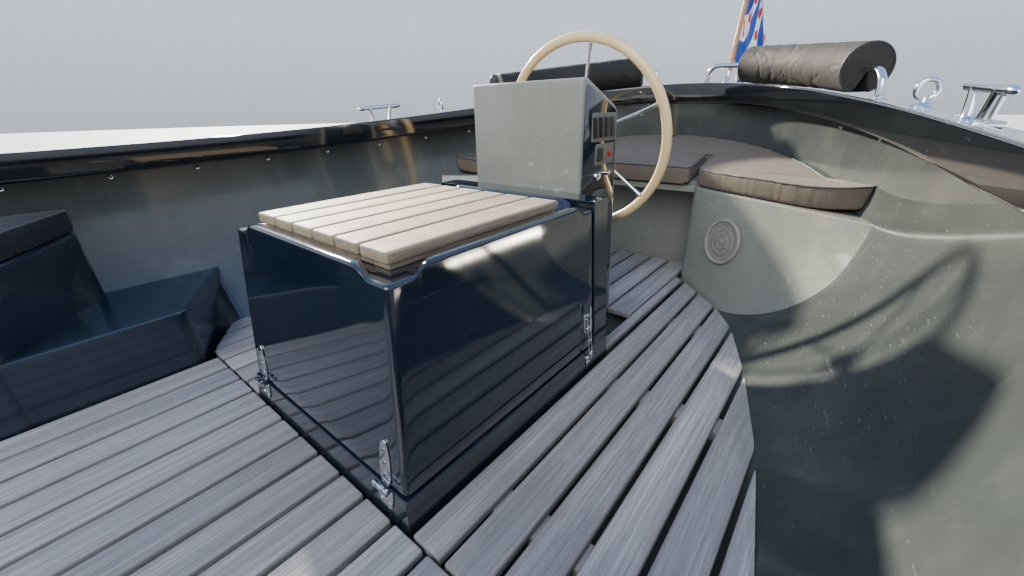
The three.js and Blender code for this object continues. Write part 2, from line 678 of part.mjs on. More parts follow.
// The rail bends round the stern quarter from foot to foot, and carries a roll cushion
const RAIL = { from: 47, to: 6.5, share: 0.42, rise: 84, radius: 12 };
// The starboard roll cushion sits further aft on its rail than the port one
const ROLL = { from: 43.5, port: 17, starboard: 10.8, radius: 76 };

function addRail(side, sign, room) {
  const place = (angle, rise) => {
    const [x, y, z] = onGunwale(angle, RAIL.share, rise);
    return [x, sign * y, z];
  };
  const bend = 2.2;
  const shoulder = RAIL.rise * 0.7;
  const route = [[RAIL.from, -SEAT_IN], [RAIL.from, RAIL.rise * 0.3], [RAIL.from - 0.3, shoulder],
    [RAIL.from - bend, RAIL.rise]];
  for (let i = 1; i < 6; i += 1) {
    route.push([RAIL.from - bend + ((RAIL.to - RAIL.from + 2 * bend) * i) / 6, RAIL.rise]);
  }
  route.push([RAIL.to + bend, RAIL.rise], [RAIL.to + 0.3, shoulder], [RAIL.to, RAIL.rise * 0.3],
    [RAIL.to, -SEAT_IN]);
  const points = route.map(([angle, rise]) => place(angle, rise));
  addMesh(`rail_${side}`, bentBar(points, RAIL.radius, 8, 36).subtract(room), 'steel');
  const roll = [];
  const reach = ROLL[side] - ROLL.from;
  for (let i = 0; i <= 6; i += 1) roll.push(place(ROLL.from + (reach * i) / 6, RAIL.rise));
  const cushion = bentBar(roll, ROLL.radius, 12, 12).subtract(bentBar(points, RAIL.radius + GAP, 8, 36));
  addMesh(`rail_roll_${side}`, cushion, 'darkCushion');
}

// A fitting made about its own origin, set on the gunwale and turned along it
function setOnGunwale(body, angle, share, sign) {
  const [x, y, z] = onGunwale(angle, share, 0);
  const [xa, ya, za] = onGunwale(angle + 1, share, 0);
  const turn = THREE.MathUtils.radToDeg(Math.atan2(ya - y, xa - x));
  const dip = THREE.MathUtils.radToDeg(Math.atan2(z - za, Math.hypot(xa - x, ya - y)));
  return body.rotate([0, dip, sign * turn]).translate([x, sign * y, z]);
}

const BOLLARD = {
  angle: 61.8, share: 0.35, length: 216, width: 60, post: 11.5, feet: 31, tops: 49, height: 62, plate: 58,
};

function addBollard(side, sign, room) {
  const { length, width, post, feet, tops, height, plate: reach } = BOLLARD;
  const parts = [];
  for (const end of [-1, 1]) {
    parts.push(bar([end * feet, 0, 0], [end * tops, 0, height], post, 12));
  }
  parts.push(bar([-length / 2, 0, height], [length / 2, 0, height], post - 1, 12));
  parts.push(block(-reach, reach, -width / 2, width / 2, -SEAT_IN, 7));
  addMesh(`bollard_${side}`, setOnGunwale(join(parts), BOLLARD.angle, BOLLARD.share, sign).subtract(room),
    'steel');
}

const EYE = { angle: 53.6, share: 0.5, ring: 22.5, wire: 6.5, middle: 46, neck: 22, foot: 30 };

function addLiftingEye(side, sign, room) {
  const ring = new THREE.TorusGeometry(EYE.ring, EYE.wire, 8, 20);
  ring.rotateY(Math.PI / 2);
  ring.translate(0, 0, EYE.middle);
  const cone = new THREE.CylinderGeometry(11, EYE.foot, EYE.neck + SEAT_IN, 20);
  cone.rotateX(Math.PI / 2);
  cone.translate(0, 0, (EYE.neck - SEAT_IN) / 2);
  const eye = setOnGunwale(solid(ring).add(solid(cone)), EYE.angle, EYE.share, sign);
  addMesh(`lifting_eye_${side}`, eye.subtract(room), 'steel');
}

const STAFF = { angle: 10, share: 0.8, lean: 330, rise: 1150, radius: 13 };
// The flag hangs beside the staff in folds, turned from aft towards port. Its outline is the distance out
// from the staff's axis and the height over the gunwale.
const FLAG = {
  half: 13,
  turn: 53,
  outline: [[13.6, 1080], [13.6, 130], [48, 16], [150, 36], [190, 110], [110, 300], [66, 520], [58, 1010]],
};

function addStern(room) {
  const [x, y, z] = onGunwale(STAFF.angle, STAFF.share, 0);
  const along = (rise) => [x - (STAFF.lean * rise) / STAFF.rise, y, z + rise];
  const staff = bar(along(-SEAT_IN), along(STAFF.rise), STAFF.radius, 12)
    .add(bar(along(-SEAT_IN), along(70), 20, 16));
  addMesh('flagstaff', staff.subtract(room), 'wood');
  // Each height of the flag is shifted aft by the staff's lean there
  const lean = -STAFF.lean / STAFF.rise;
  const flag = sidePlate(FLAG.outline.map(([out, rise]) => [-out, rise]), -FLAG.half, FLAG.half)
    .rotate([0, 0, -FLAG.turn])
    .transform([1, 0, 0, 0, 0, 1, 0, 0, lean, 0, 1, 0, x, y, z, 1]);
  addMesh('flag', flag, 'flag');
}

function addFittings() {
  const room = gunwaleForm(GAP);
  for (const [side, sign] of [['port', 1], ['starboard', -1]]) {
    addRail(side, sign, room);
    addBollard(side, sign, room);
    addLiftingEye(side, sign, room);
  }
  addStern(room);
}

// Keel, propeller, rudder

function addKeel() {
  const top = -60;
  const profile = [
    [2150, top], [1900, -430], [1100, KEEL_FOOT + 90], [-300, KEEL_FOOT], [-2480, KEEL_FOOT],
    [-2480, HEEL_TOP], [-2090, HEEL_TOP], [-2090, top],
  ];
  const tube = bar([-2095, 0, PROP.z], [-1750, 0, PROP.z], 34, 20);
  const bore = bar([-2200, 0, PROP.z], [-1800, 0, PROP.z], 12 + GAP, 20);
  const keel = sidePlate(profile, -KEEL_HALF, KEEL_HALF).add(tube).subtract(bore).subtract(hullForm(GAP));
  addMesh('keel', keel, 'hull');
  addMesh('propeller_shaft', bar([-2165, 0, PROP.z], [-1802, 0, PROP.z], 12, 20), 'steel');
}

function addPropeller() {
  const hub = new THREE.CylinderGeometry(20, PROP.hub, 80, 24);
  hub.rotateZ(Math.PI / 2);
  hub.translate(PROP.x, 0, PROP.z);
  const parts = [solid(hub)];
  for (let i = 0; i < PROP.blades; i += 1) {
    const rings = [[20, 24], [52, 46], [84, 52], [108, 38], [PROP.radius, 14]].map(([r, chord]) => {
      const pitch = Math.atan2(150, 2 * Math.PI * r);
      const across = [Math.sin(pitch), Math.cos(pitch)];
      return [[-chord, -3], [0, -5], [chord, -3], [chord, 3], [0, 5], [-chord, 3]].map(([c, t]) => {
        const x = c * across[0] + t * across[1];
        const y = c * across[1] - t * across[0];
        return [x, y, r];
      });
    });
    const blade = loft(rings).rotate([(360 / PROP.blades) * i, 0, 0]).translate([PROP.x, 0, PROP.z]);
    parts.push(blade);
  }
  const bore = bar([-2166 - GAP, 0, PROP.z], [-2100, 0, PROP.z], 12 + GAP, 20);
  addMesh('propeller', join(parts).subtract(bore), 'bronze');
}

function addRudder() {
  const blade = [[RUDDER_X + 55, -200], [RUDDER_X + 62, -590], [RUDDER_X - 250, -580],
    [RUDDER_X - 290, -300], [RUDDER_X - 230, -180]];
  const stock = bar([RUDDER_X, 0, HEEL_TOP + GAP], [RUDDER_X, 0, -120], 19, 20);
  const body = sidePlate(blade, -14, 14).add(stock);
  addMesh('rudder', body.subtract(hullForm(RUDDER_CLEAR)), 'hull');
}

addHull();
addForedeck();
addForwardBench();
addAftBench();
addFloor();
addEngineBox();
addHoodSeat();
addHinges();
addLatches();
addConsole();
addWheel();
addCushions();
addFittings();
addKeel();
addPropeller();
addRudder();

export default boat;
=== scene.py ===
"""Looks of an open motor launch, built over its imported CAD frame.

Metres. +X points to the bow, +Y to port, +Z up, and the water's surface is z = 0.
"""

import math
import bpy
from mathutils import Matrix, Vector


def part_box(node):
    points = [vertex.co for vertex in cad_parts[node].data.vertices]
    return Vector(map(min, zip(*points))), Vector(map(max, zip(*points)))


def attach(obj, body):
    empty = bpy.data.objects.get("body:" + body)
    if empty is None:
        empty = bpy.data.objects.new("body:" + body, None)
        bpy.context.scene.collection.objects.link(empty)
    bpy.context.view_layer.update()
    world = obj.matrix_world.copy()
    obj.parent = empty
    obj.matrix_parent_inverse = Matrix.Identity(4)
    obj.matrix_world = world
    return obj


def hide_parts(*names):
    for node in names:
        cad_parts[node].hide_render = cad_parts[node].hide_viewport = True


bl_info = {
    "name": "Open Motor Launch",
    "version": (1, 0, 0),
    "blender": (4, 5, 0),
    "location": "View3D > Sidebar > Launch",
    "description": "Builds the hull, fittings, soft goods and finishes of an open motor launch",
    "category": "Add Mesh",
}

import bmesh
import bpy
import numpy as np
from mathutils import Matrix, Vector
from mathutils.bvhtree import BVHTree
from mathutils.kdtree import KDTree

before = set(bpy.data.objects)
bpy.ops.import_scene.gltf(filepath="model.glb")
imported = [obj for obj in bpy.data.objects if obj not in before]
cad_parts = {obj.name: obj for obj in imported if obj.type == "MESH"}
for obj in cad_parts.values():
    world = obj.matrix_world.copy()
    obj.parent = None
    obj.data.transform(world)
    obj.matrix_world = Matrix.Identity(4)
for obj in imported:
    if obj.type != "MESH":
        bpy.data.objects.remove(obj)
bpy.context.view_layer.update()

# Sizes that repeat those of the solids, in metres
GAP = 0.0003
HULL = {"aft": 3.085, "bow": 3.085, "beam": 1.195, "keel": -0.42, "stern": 0.06, "stem": 0.56, "rise": 4.0,
    "p": 2.4, "q": 0.55}
WELL = {"aft": 2.985, "bow": 2.93, "beam": 1.135, "keel": -0.34, "stern": 0.027, "stem": 0.42, "rise": 1.45,
    "p": 2.8, "q": 0.6}
GUNWALE_OUT = {"aft": 3.1, "bow": 3.1, "beam": 1.21}
GUNWALE_IN = {"aft": 2.92, "bow": 2.88, "beam": 1.06}
GUNWALE_DEPTH = 0.085
GUNWALE_CAMBER = 0.024
STRAKE = {"drop": 0.165, "height": 0.06, "proud": 0.034}
SOLE = 0.01
FLOOR = 0.06
BOARD = 0.022
PITCH = 0.094
SLIT = 0.012
BOX = {"front": -0.829, "aft": -1.53, "half": 0.334, "seam": 0.07, "top": 0.472, "lip": 0.491,
       "side": 0.030 / 0.472, "lean": 0.046 / 0.472, "wall": 0.025}
SEAT = {"front": -0.915, "aft": -1.43, "half": 0.256, "top": 0.568, "board": 0.024, "boards": 6,
    "slit": 0.006}
HINGE = {"x": -0.821, "y": 0.27, "z": 0.13}
LATCH_X = -1.49
CONSOLE = {"front": -1.616, "top": 0.857, "half": 0.205}
WHEEL = {"x": -1.965, "z": 0.68, "radius": 0.322, "rim": 0.016, "lean": math.radians(9), "spokes": 6,
    "turn": math.radians(9), "marked": math.radians(157)}
BENCH = 0.45
STEP = 0.24
AFT_TOP = 0.465
AFT_LEVEL = -2.38
AFT_SLOPE = 0.175
RISER = -2.61
WING_FOOT = [(-2.44, 0.297), (-2.405, 0.310), (-2.072, 0.623), (-1.38, 1.3)]
WING_TOP = [(-2.44, 0.297), (-2.416, 0.312), (-2.065, 0.900), (-1.829, 1.3)]
SPEAKER = {"at": (-2.282, 0.480, 0.287), "out": (0.805, -0.578, 0.137), "radius": 0.09}
RAIL = {"from": 47.0, "to": 6.5, "share": 0.42, "rise": 0.084, "radius": 0.012}
ROLL = {"from": 43.5, "port": 17.0, "starboard": 10.8, "radius": 0.076}
BOLLARD = {"angle": 61.8, "share": 0.35, "length": 0.216, "feet": 0.031, "tops": 0.049, "post": 0.0115,
    "height": 0.062,
           "plate": (0.058, 0.030)}
EYE = {"angle": 53.6, "ring": 0.0225, "wire": 0.0065, "middle": 0.046}
STAFF = {"angle": 10.0, "share": 0.8, "lean": 0.33, "rise": 1.15, "radius": 0.013}

# The photograph's camera and the lights, in metres and degrees
CAMERA = {"at": (-0.55, 0.825, 0.78), "yaw": -39.548, "pitch": 23.454, "roll": -1.112, "lens": 14.428}
KEY = {"at": (-4, -4, 3), "round": 72, "down": 25.5, "angle": 2.5, "colour": (1.0, 0.93, 0.78)}
FILL = {"at": (3.6, 1.4, 4.6), "aim": (-1.4, 0.0, 0.3), "size": 5.0, "power": 420.0,
    "colour": (1.0, 0.98, 0.94)}

# Cushions: how far a point may swell, how far the cloth starts inside its solid, and the piping's radius
SWELL = 0.012
DRAWN_IN = 0.0015
PIPING = 0.0032


# Mesh helpers


def skin(grid, wrap_u=False, wrap_v=False, caps=True):
    """Quads between the neighbours of a grid of points. A wrapped direction joins its last row to its first,
    and caps close the first and the last row where rows are loops."""
    grid = np.asarray(grid, float)
    rows, cols = grid.shape[:2]
    index = np.arange(rows * cols).reshape(rows, cols)
    if wrap_u:
        index = np.vstack([index, index[:1]])
    if wrap_v:
        index = np.hstack([index, index[:, :1]])
    quads = np.stack([index[:-1, :-1], index[:-1, 1:], index[1:, 1:], index[1:, :-1]], -1).reshape(-1,
        4).tolist()
    if caps and wrap_v and not wrap_u:
        quads.append(index[0, :cols][::-1].tolist())
        quads.append(index[-1, :cols].tolist())
    return grid.reshape(-1, 3), quads


def bent(a, corner, b, t):
    """A quadratic curve from a to b that bends towards a corner: a (1 - t)^2 + 2 corner t (1 - t) + b t^2."""
    return a * (1 - t) ** 2 + corner * 2 * t * (1 - t) + b * t**2


def toward(direction, radius, most):
    """A step of the radius along a direction, and at most a share of the direction's own length."""
    far = np.linalg.norm(direction, axis=-1, keepdims=True)
    return direction / far * np.minimum(radius, most * far)


def rectangle(x0, x1, y0, y1):
    """The four corners of a rectangle, in order."""
    return [(x0, y0), (x1, y0), (x1, y1), (x0, y1)]


def raised(plan, height):
    """Plan points with a height, or with a height each."""
    return np.column_stack([plan, height + np.zeros(len(plan))])


def ring_of(corners, radius, steps=4):
    """A closed outline with each corner rounded by a quadratic curve: the corner's control point stays, and
    the curve leaves each side at the radius from it. Returns points in order."""
    corners = np.asarray(corners, float)
    radius = np.broadcast_to(radius, len(corners))[:, None]
    before, after = np.roll(corners, 1, 0) - corners, np.roll(corners, -1, 0) - corners
    a, b = (corners + toward(d, radius, 0.49) for d in (before, after))
    t = np.linspace(0, 1, steps + 1)[None, :, None]
    points = bent(a[:, None], corners[:, None], b[:, None], t)
    return points.reshape(-1, corners.shape[1])


def inset(outline, distance):
    """The outline moved inwards: each point goes along the mean of its two edges' inward normals."""
    edge = np.roll(outline, -1, 0) - outline
    edge /= np.maximum(np.linalg.norm(edge, axis=1, keepdims=True), 1e-12)
    normal = np.stack([-edge[:, 1], edge[:, 0]], 1)
    area = np.sum(outline[:, 0] * np.roll(outline[:, 1], -1) - np.roll(outline[:, 0], -1) * outline[:, 1])
    mean = normal + np.roll(normal, 1, 0)
    mean /= np.maximum(np.linalg.norm(mean, axis=1, keepdims=True), 1e-9)
    return outline + mean * distance * (1 if area > 0 else -1)


def prism(outline, low, high, radius=0.002, steps=3, place=None):
    """A plate: a plane outline carried from low to high, with both rims rounded. Near a rim the outline
    moves inwards by radius * (1 - sin t) while the height changes by radius * (1 - cos t), t from 0 to a
    right angle."""
    outline = np.asarray(outline, float)
    t = np.linspace(0, np.pi / 2, steps + 1)
    levels = [(low + radius * (1 - np.cos(a)), radius * (1 - np.sin(a))) for a in t]
    levels += [(high - radius * (1 - np.cos(a)), radius * (1 - np.sin(a))) for a in t[::-1]]
    grid = np.stack([raised(inset(outline, d), z) for z, d in levels])
    if place is not None:
        grid = place(grid)
    return skin(grid, wrap_v=True)


def frames_along(path, closed=False, up=(0, 0, 1)):
    """Tangent, side and upward directions at each point of a path, the side level wherever it can be."""
    path = np.asarray(path, float)
    if closed:
        tangent = np.roll(path, -1, 0) - np.roll(path, 1, 0)
    else:
        tangent = np.gradient(path, axis=0)
    tangent /= np.linalg.norm(tangent, axis=1, keepdims=True)
    side = np.cross(tangent, up)
    length = np.linalg.norm(side, axis=1, keepdims=True)
    good = length[:, 0] > 0.05
    if not good.any():
        return frames_along(path, closed, np.eye(3)[np.argmin(np.abs(tangent).sum(0))])
    if not good.all():
        keep = np.where(good)[0]
        nearest = keep[np.argmin(np.abs(np.arange(len(path))[:, None] - keep[None, :]), axis=1)]
        side = np.where(good[:, None], side, side[nearest])
        side -= tangent * np.sum(side * tangent, axis=1, keepdims=True)
    side /= np.maximum(np.linalg.norm(side, axis=1, keepdims=True), 1e-9)
    return tangent, side, np.cross(side, tangent)


def tube(path, radius, sides=16, closed=False, up=(0, 0, 1)):
    """A round bar: at each point of the path a circle of the radius there, across the path's direction."""
    path = np.asarray(path, float)
    _, side, rise = frames_along(path, closed, up)
    t = np.linspace(0, 2 * np.pi, sides, endpoint=False)
    radius = np.broadcast_to(radius, len(path))[:, None, None]
    grid = path[:, None] + radius * (np.cos(t)[None, :, None] * side[:, None] + np.sin(t)[None, :, None]
        * rise[:, None])
    return skin(grid, wrap_u=closed, wrap_v=True)


def lathe(profile, sides=32, place=None):
    """A turned shape: each (radius, height) of the profile becomes a circle about Z, and the ends are
    closed."""
    profile = np.asarray(profile, float)
    t = np.linspace(0, 2 * np.pi, sides, endpoint=False)
    grid = np.stack([profile[:, :1] * np.cos(t), profile[:, :1] * np.sin(t),
        np.repeat(profile[:, 1:2], sides, 1)], -1)
    if place is not None:
        grid = place(grid)
    return skin(grid, wrap_v=True)


def round_ends(path, steps=4):
    """Shares of a bar's radius that round its two ends over its first and last few points."""
    size = np.ones(len(path))
    cap = np.sin(np.linspace(0.12, 1, steps) * np.pi / 2)
    size[:steps], size[-steps:] = cap, cap[::-1]
    return size


def run_along(line):
    """The length along a line at each of its points, from its first."""
    return np.concatenate([[0], np.cumsum(np.linalg.norm(np.diff(line, axis=0), axis=1))])


def points_at(line, run, lengths):
    """The points of a line at lengths along it, straight between its own points."""
    return np.column_stack([np.interp(lengths, run, line[:, k]) for k in range(line.shape[1])])


def resampled(line, count):
    """The line again as count points, evenly along its length, its first and last points kept."""
    run = run_along(line)
    return points_at(line, run, np.linspace(0, run[-1], count))


def smooth_path(points, count):
    """A curve through the points, by centripetal spans: each span is a cubic whose end slopes follow its
    neighbours, sampled evenly by length."""
    p = np.asarray(points, float)
    p = np.vstack([2 * p[0] - p[1], p, 2 * p[-1] - p[-2]])
    t = np.linspace(0, 1, 24, endpoint=False)[None, :, None]
    a, b, c, d = (p[k : len(p) - 3 + k][:, None] for k in range(4))
    spans = 0.5 * (2 * b + (c - a) * t + (2 * a - 5 * b + 4 * c - d) * t**2 + (3 * b - a - 3 * c + d) * t**3)
    return resampled(np.vstack([spans.reshape(-1, p.shape[1]), p[-2:-1]]), count)


def placed(origin, x_axis, z_axis):
    """A function that puts points made about the origin at a place, with their X and Z along the given
    directions."""
    z = np.array(z_axis, float)
    z /= np.linalg.norm(z)
    x = np.array(x_axis, float) - z * np.dot(x_axis, z)
    x /= np.linalg.norm(x)
    turn = np.stack([x, np.cross(z, x), z])
    return lambda grid: np.asarray(grid) @ turn + np.array(origin, float)


def make(name, parts, material, body="hull", replaces=(), crease=35, marks=None):
    """One piece from parts that are each points and faces. Doubles are merged, faces turned outwards and
    edges sharper than the crease angle kept sharp. Marks are values per point, kept as attributes."""
    points, faces, first = [], [], 0
    for part_points, part_faces in parts:
        points.append(part_points)
        faces += [[i + first for i in face] for face in part_faces]
        first += len(part_points)
    mesh = bpy.data.meshes.new(name)
    mesh.from_pydata(np.vstack(points).tolist(), [], faces)
    for mark, values in (marks or {}).items():
        mesh.attributes.new(mark, "FLOAT", "POINT").data.foreach_set("value",
            np.asarray(values, np.float32).ravel())
    work = bmesh.new()
    work.from_mesh(mesh)
    bmesh.ops.remove_doubles(work, verts=work.verts, dist=2e-6)
    bmesh.ops.dissolve_degenerate(work, edges=work.edges, dist=1e-6)
    bmesh.ops.recalc_face_normals(work, faces=work.faces)
    work.to_mesh(mesh)
    work.free()
    return finish_piece(name, mesh, material, body, replaces, crease)


def added(name, data):
    """A new object with the data, linked to the scene."""
    obj = bpy.data.objects.new(name, data)
    bpy.context.scene.collection.objects.link(obj)
    return obj


def finish_piece(name, mesh, material, body, replaces, crease):
    """A mesh made into a piece: smooth up to the crease angle, with its finish, its body and the
    nodes that it stands for."""
    mesh.polygons.foreach_set("use_smooth", np.ones(len(mesh.polygons), bool))
    mesh.set_sharp_from_angle(angle=math.radians(crease))
    mesh.materials.append(material)
    obj = added(name, mesh)
    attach(obj, body)
    if replaces:
        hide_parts(*replaces)
    return obj


def softened(name, node, material, width, body="hull"):
    """A CAD solid's own shape with its edges rounded: the faces are merged back into planes and each edge
    sharper than 30 degrees is bevelled."""
    angle = math.radians(30)
    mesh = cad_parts[node].data.copy()
    work = bmesh.new()
    work.from_mesh(mesh)
    bmesh.ops.remove_doubles(work, verts=work.verts, dist=2e-5)
    bmesh.ops.dissolve_limit(work, angle_limit=math.radians(1.5), verts=work.verts, edges=work.edges)
    work.to_mesh(mesh)
    work.free()
    mesh.materials.clear()
    obj = finish_piece(name, mesh, material, body, (node,), 180)
    bevel = obj.modifiers.new("Rounded edges", "BEVEL")
    bevel.width, bevel.segments = width, 3
    bevel.limit_method, bevel.angle_limit = "ANGLE", angle
    mesh.set_sharp_from_angle(angle=angle)
    return obj


def recoated(node, material):
    """A CAD solid kept as it is, with a new finish."""
    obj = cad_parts[node]
    obj.data.materials.clear()
    obj.data.materials.append(material)


# Forms of the hull


def sheer(x):
    """Height of the gunwale top: 0.69 + 0.17 * (-x / 2.9)^2.4 aft and 0.69 + 0.34 * (x / 2.9)^2 forward."""
    x = np.asarray(x, float)
    return 0.69 + np.where(x < 0, 0.17 * (np.clip(-x, 0, None) / 2.9) ** 2.4,
        0.34 * (np.clip(x, 0, None) / 2.9) ** 2)


def keel_line(form, x):
    """Height of the bottom: it rises as a power of the distance from amidships, slowly and then faster."""
    aft = form["keel"] + (form["stern"] - form["keel"]) * np.clip(-x / form["aft"], 0, 1) ** form["rise"]
    bow = form["keel"] + (form["stem"] - form["keel"]) * np.clip(x / form["bow"], 0, 1) ** 9
    return np.where(x < 0, aft, bow)


def half_beam(form, x):
    """Half breadth at the top: beam * (1 - (x / length)^2.95)^0.5 aft and beam * (1 - (x / length)^2.4)^0.72
    forward."""
    aft = np.clip(1 - np.clip(-x / form["aft"], 0, 1) ** 2.95, 0, 1) ** 0.5
    bow = np.clip(1 - np.clip(x / form["bow"], 0, 1) ** 2.4, 0, 1) ** 0.72
    return form["beam"] * np.where(x < 0, aft, bow)


def grown(form, by):
    """A form made longer at both ends and wider to each side."""
    return {**form, "aft": form["aft"] + by, "bow": form["bow"] + by, "beam": form["beam"] + by}


def half_at(form, x, z):
    """Half breadth of a form at a height: half beam * (1 - s^p)^q, where s is the share of the way down."""
    top, foot = sheer(x), keel_line(form, x)
    s = np.clip((top - z) / (top - foot), 0, 1)
    return half_beam(form, x) * np.clip(1 - s ** form["p"], 0, 1) ** form["q"]


def section(form, x, shares, drop, floor=None):
    """Points across the boat, from the port side under the gunwale down to the middle and up to starboard.
    floor levels the bottom off with a soft corner: z = floor + log(1 + exp(k (z - floor))) / k."""
    top, foot = sheer(x)[:, None], keel_line(form, x)[:, None]
    first = drop / (top - foot)
    s = first + (1 - first) * shares[None, :]
    y = half_beam(form, x)[:, None] * np.clip(1 - s ** form["p"], 0, 1) ** form["q"]
    z = top - (top - foot) * s
    if floor is not None:
        z = floor + np.logaddexp(0, 160 * (z - floor)) / 160
    port = np.stack([np.repeat(x[:, None], len(shares), 1), y, z], -1)
    starboard = port[:, -2::-1] * [1, -1, 1]
    return np.concatenate([port, starboard], 1)


def lengthways(form, count):
    """Stations from the stern to the bow, closer at the ends: x = -length * cos(t)."""
    t = np.linspace(0, np.pi, count)
    return -np.where(t < np.pi / 2, form["aft"], form["bow"]) * np.cos(t)


def plan_point(form, turn):
    """A place round a plan outline: x = -length * cos(turn), with half_beam's half breadth, port for turns
    up to half a circle and starboard after it."""
    turn = np.asarray(turn, float)
    c = np.cos(turn)
    x = -np.where(c > 0, form["aft"], form["bow"]) * c
    return x, half_beam({**HULL, **form}, x) * np.where(np.sin(turn) < 0, -1, 1)


def on_gunwale(angle, share, rise):
    """A place on the gunwale top from the stern: angle in degrees of the solids' plan outline, where x =
    -aft * cos(a)^(2 / 2.95) and y = beam * sin(a), the share of the way out, and a height over the top."""
    a = np.radians(np.asarray(angle, float))
    power = 2 / 2.95
    inner = np.stack([-GUNWALE_IN["aft"] * np.cos(a) ** power, GUNWALE_IN["beam"] * np.sin(a)], -1)
    outer = np.stack([-GUNWALE_OUT["aft"] * np.cos(a) ** power, GUNWALE_OUT["beam"] * np.sin(a)], -1)
    at = inner + (outer - inner) * share
    height = sheer(outer[..., 0]) - GUNWALE_CAMBER * share + rise
    return np.concatenate([at, height[..., None]], -1)


def mirrored(part):
    """The part on the other side of the boat, its faces turned to look outwards again."""
    points, faces = part
    return points * [1, -1, 1], [face[::-1] for face in faces]


# Shader groups and materials


def put(tree, socket, value):
    """Links another node's socket to this one, or puts a plain value on it."""
    if isinstance(value, bpy.types.NodeSocket):
        tree.links.new(value, socket)
    else:
        socket.default_value = value


def add(tree, kind, values=None, **choices):
    """A new node of a kind, with its own choices set and values or sockets on its inputs."""
    node = tree.nodes.new(kind)
    for key, value in choices.items():
        setattr(node, key, value)
    for key, value in (values or {}).items():
        put(tree, node.inputs[key], value)
    return node


def group(name, inputs, outputs):
    """A new shader group: its tree, the sockets that its inputs arrive at and those that its outputs leave
    by."""
    tree = bpy.data.node_groups.new(name, "ShaderNodeTree")
    for label, kind, value in inputs:
        socket = tree.interface.new_socket(label, in_out="INPUT", socket_type=kind)
        if value is not None:
            socket.default_value = value
    for label, kind in outputs:
        tree.interface.new_socket(label, in_out="OUTPUT", socket_type=kind)
    return tree, tree.nodes.new("NodeGroupInput").outputs, tree.nodes.new("NodeGroupOutput").inputs


V, F = "NodeSocketVector", "NodeSocketFloat"


def math_node(tree, operation, *values, clamp=False):
    """One step of arithmetic on values or sockets."""
    return add(tree, "ShaderNodeMath", dict(enumerate(values)), operation=operation,
        use_clamp=clamp).outputs[0]


def times(tree, a, b, clamp=False):
    """The product of two values or sockets."""
    return math_node(tree, "MULTIPLY", a, b, clamp=clamp)


def plus(tree, a, b, clamp=False):
    """The sum of two values or sockets."""
    return math_node(tree, "ADD", a, b, clamp=clamp)


def minus(tree, a, b):
    """The difference of two values or sockets."""
    return math_node(tree, "SUBTRACT", a, b)


def noise(tree, vector, scale, detail, **more):
    """Noise at a scale, as fine as the detail says."""
    values = {"Vector": vector, "Scale": scale, "Detail": detail, **more}
    return add(tree, "ShaderNodeTexNoise", values).outputs[0]


def spread(tree, value, low, high, to_low=0.0, to_high=1.0):
    """A value's range from low to high, spread over another range."""
    values = {"Value": value, "From Min": low, "From Max": high, "To Min": to_low, "To Max": to_high}
    return add(tree, "ShaderNodeMapRange", values).outputs[0]


def group_blotches():
    """Soft patches: a noise spread between two levels."""
    tree, i, o = group("Soft patches",
        [("Vector", V, None), ("Scale", F, 3.0), ("Low", F, 0.45), ("High", F, 0.7)], [("Mask", F)])
    patches = noise(tree, i["Vector"], i["Scale"], 6.0, Roughness=0.6)
    tree.links.new(spread(tree, patches, i["Low"], i["High"]), o["Mask"])
    return tree


def group_scuffs():
    """Scuffs: smears are the peaks of a noise stretched along the boat and broken by a fine one. Lines are
    the peaks of a far more stretched one. Both come in patches."""
    tree, i, o = group("Scuffs", [("Vector", V, None), ("Scale", F, 1.0)], [("Smears", F), ("Lines", F)])
    patch = noise(tree, i["Vector"], 1.7, 2.0)
    here = spread(tree, patch, 0.42, 0.62)
    for label, turn, stretch, detail, low, high in (
        ("Smears", (0.0, 0.05, 0.1), (4.0, 26, 42), 5.0, 0.64, 0.76),
        ("Lines", (0.02, 0.09, -0.06), (1.4, 190, 260), 1.0, 0.70, 0.75),
    ):
        place = add(tree, "ShaderNodeMapping",
            {"Vector": i["Vector"], "Rotation": turn, "Scale": stretch}).outputs[0]
        streaks = noise(tree, place, i["Scale"], detail)
        fine = noise(tree, i["Vector"], 140.0, 2.0)
        mark = times(tree, spread(tree, streaks, low, high), spread(tree, fine, 0.35, 0.6))
        tree.links.new(times(tree, mark, here, clamp=True), o[label])
    return tree


def group_grain():
    """Wood grain along the first axis: a coarse and a fine noise, both stretched, shifted for each board."""
    tree, i, o = group("Long grain", [("Vector", V, None), ("Tone", F, 0.0), ("Scale", F, 1.0)],
        [("Coarse", F), ("Fine", F), ("Pores", F)])
    shift = {"X": times(tree, i["Tone"], 37.0), "Y": times(tree, i["Tone"], 5.0), "Z": 0.0}
    shift = add(tree, "ShaderNodeCombineXYZ", shift)
    moved = add(tree, "ShaderNodeVectorMath", {0: i["Vector"], 1: shift.outputs[0]},
        operation="ADD").outputs[0]
    for label, stretch, detail in (("Coarse", (0.9, 26, 26), 5.0), ("Fine", (3.0, 160, 160), 4.0),
            ("Pores", (14.0, 420, 420), 2.0)):
        place = add(tree, "ShaderNodeMapping", {"Vector": moved, "Scale": stretch}).outputs[0]
        tree.links.new(noise(tree, place, i["Scale"], detail, Roughness=0.6), o[label])
    return tree


def group_weave():
    """Plain weave: two sets of threads at right angles, each a sine of the distance across it."""
    tree, i, o = group("Plain weave", [("Vector", V, None), ("Threads", F, 900.0)], [("Height", F)])
    parts = add(tree, "ShaderNodeSeparateXYZ", {0: i["Vector"]}).outputs
    waves = []
    for axis in range(3):
        wave = math_node(tree, "SINE", times(tree, parts[axis], i["Threads"]))
        waves.append(times(tree, wave, 0.5))
    height = plus(tree, waves[0], plus(tree, waves[1], waves[2]))
    tree.links.new(height, o["Height"])
    return tree


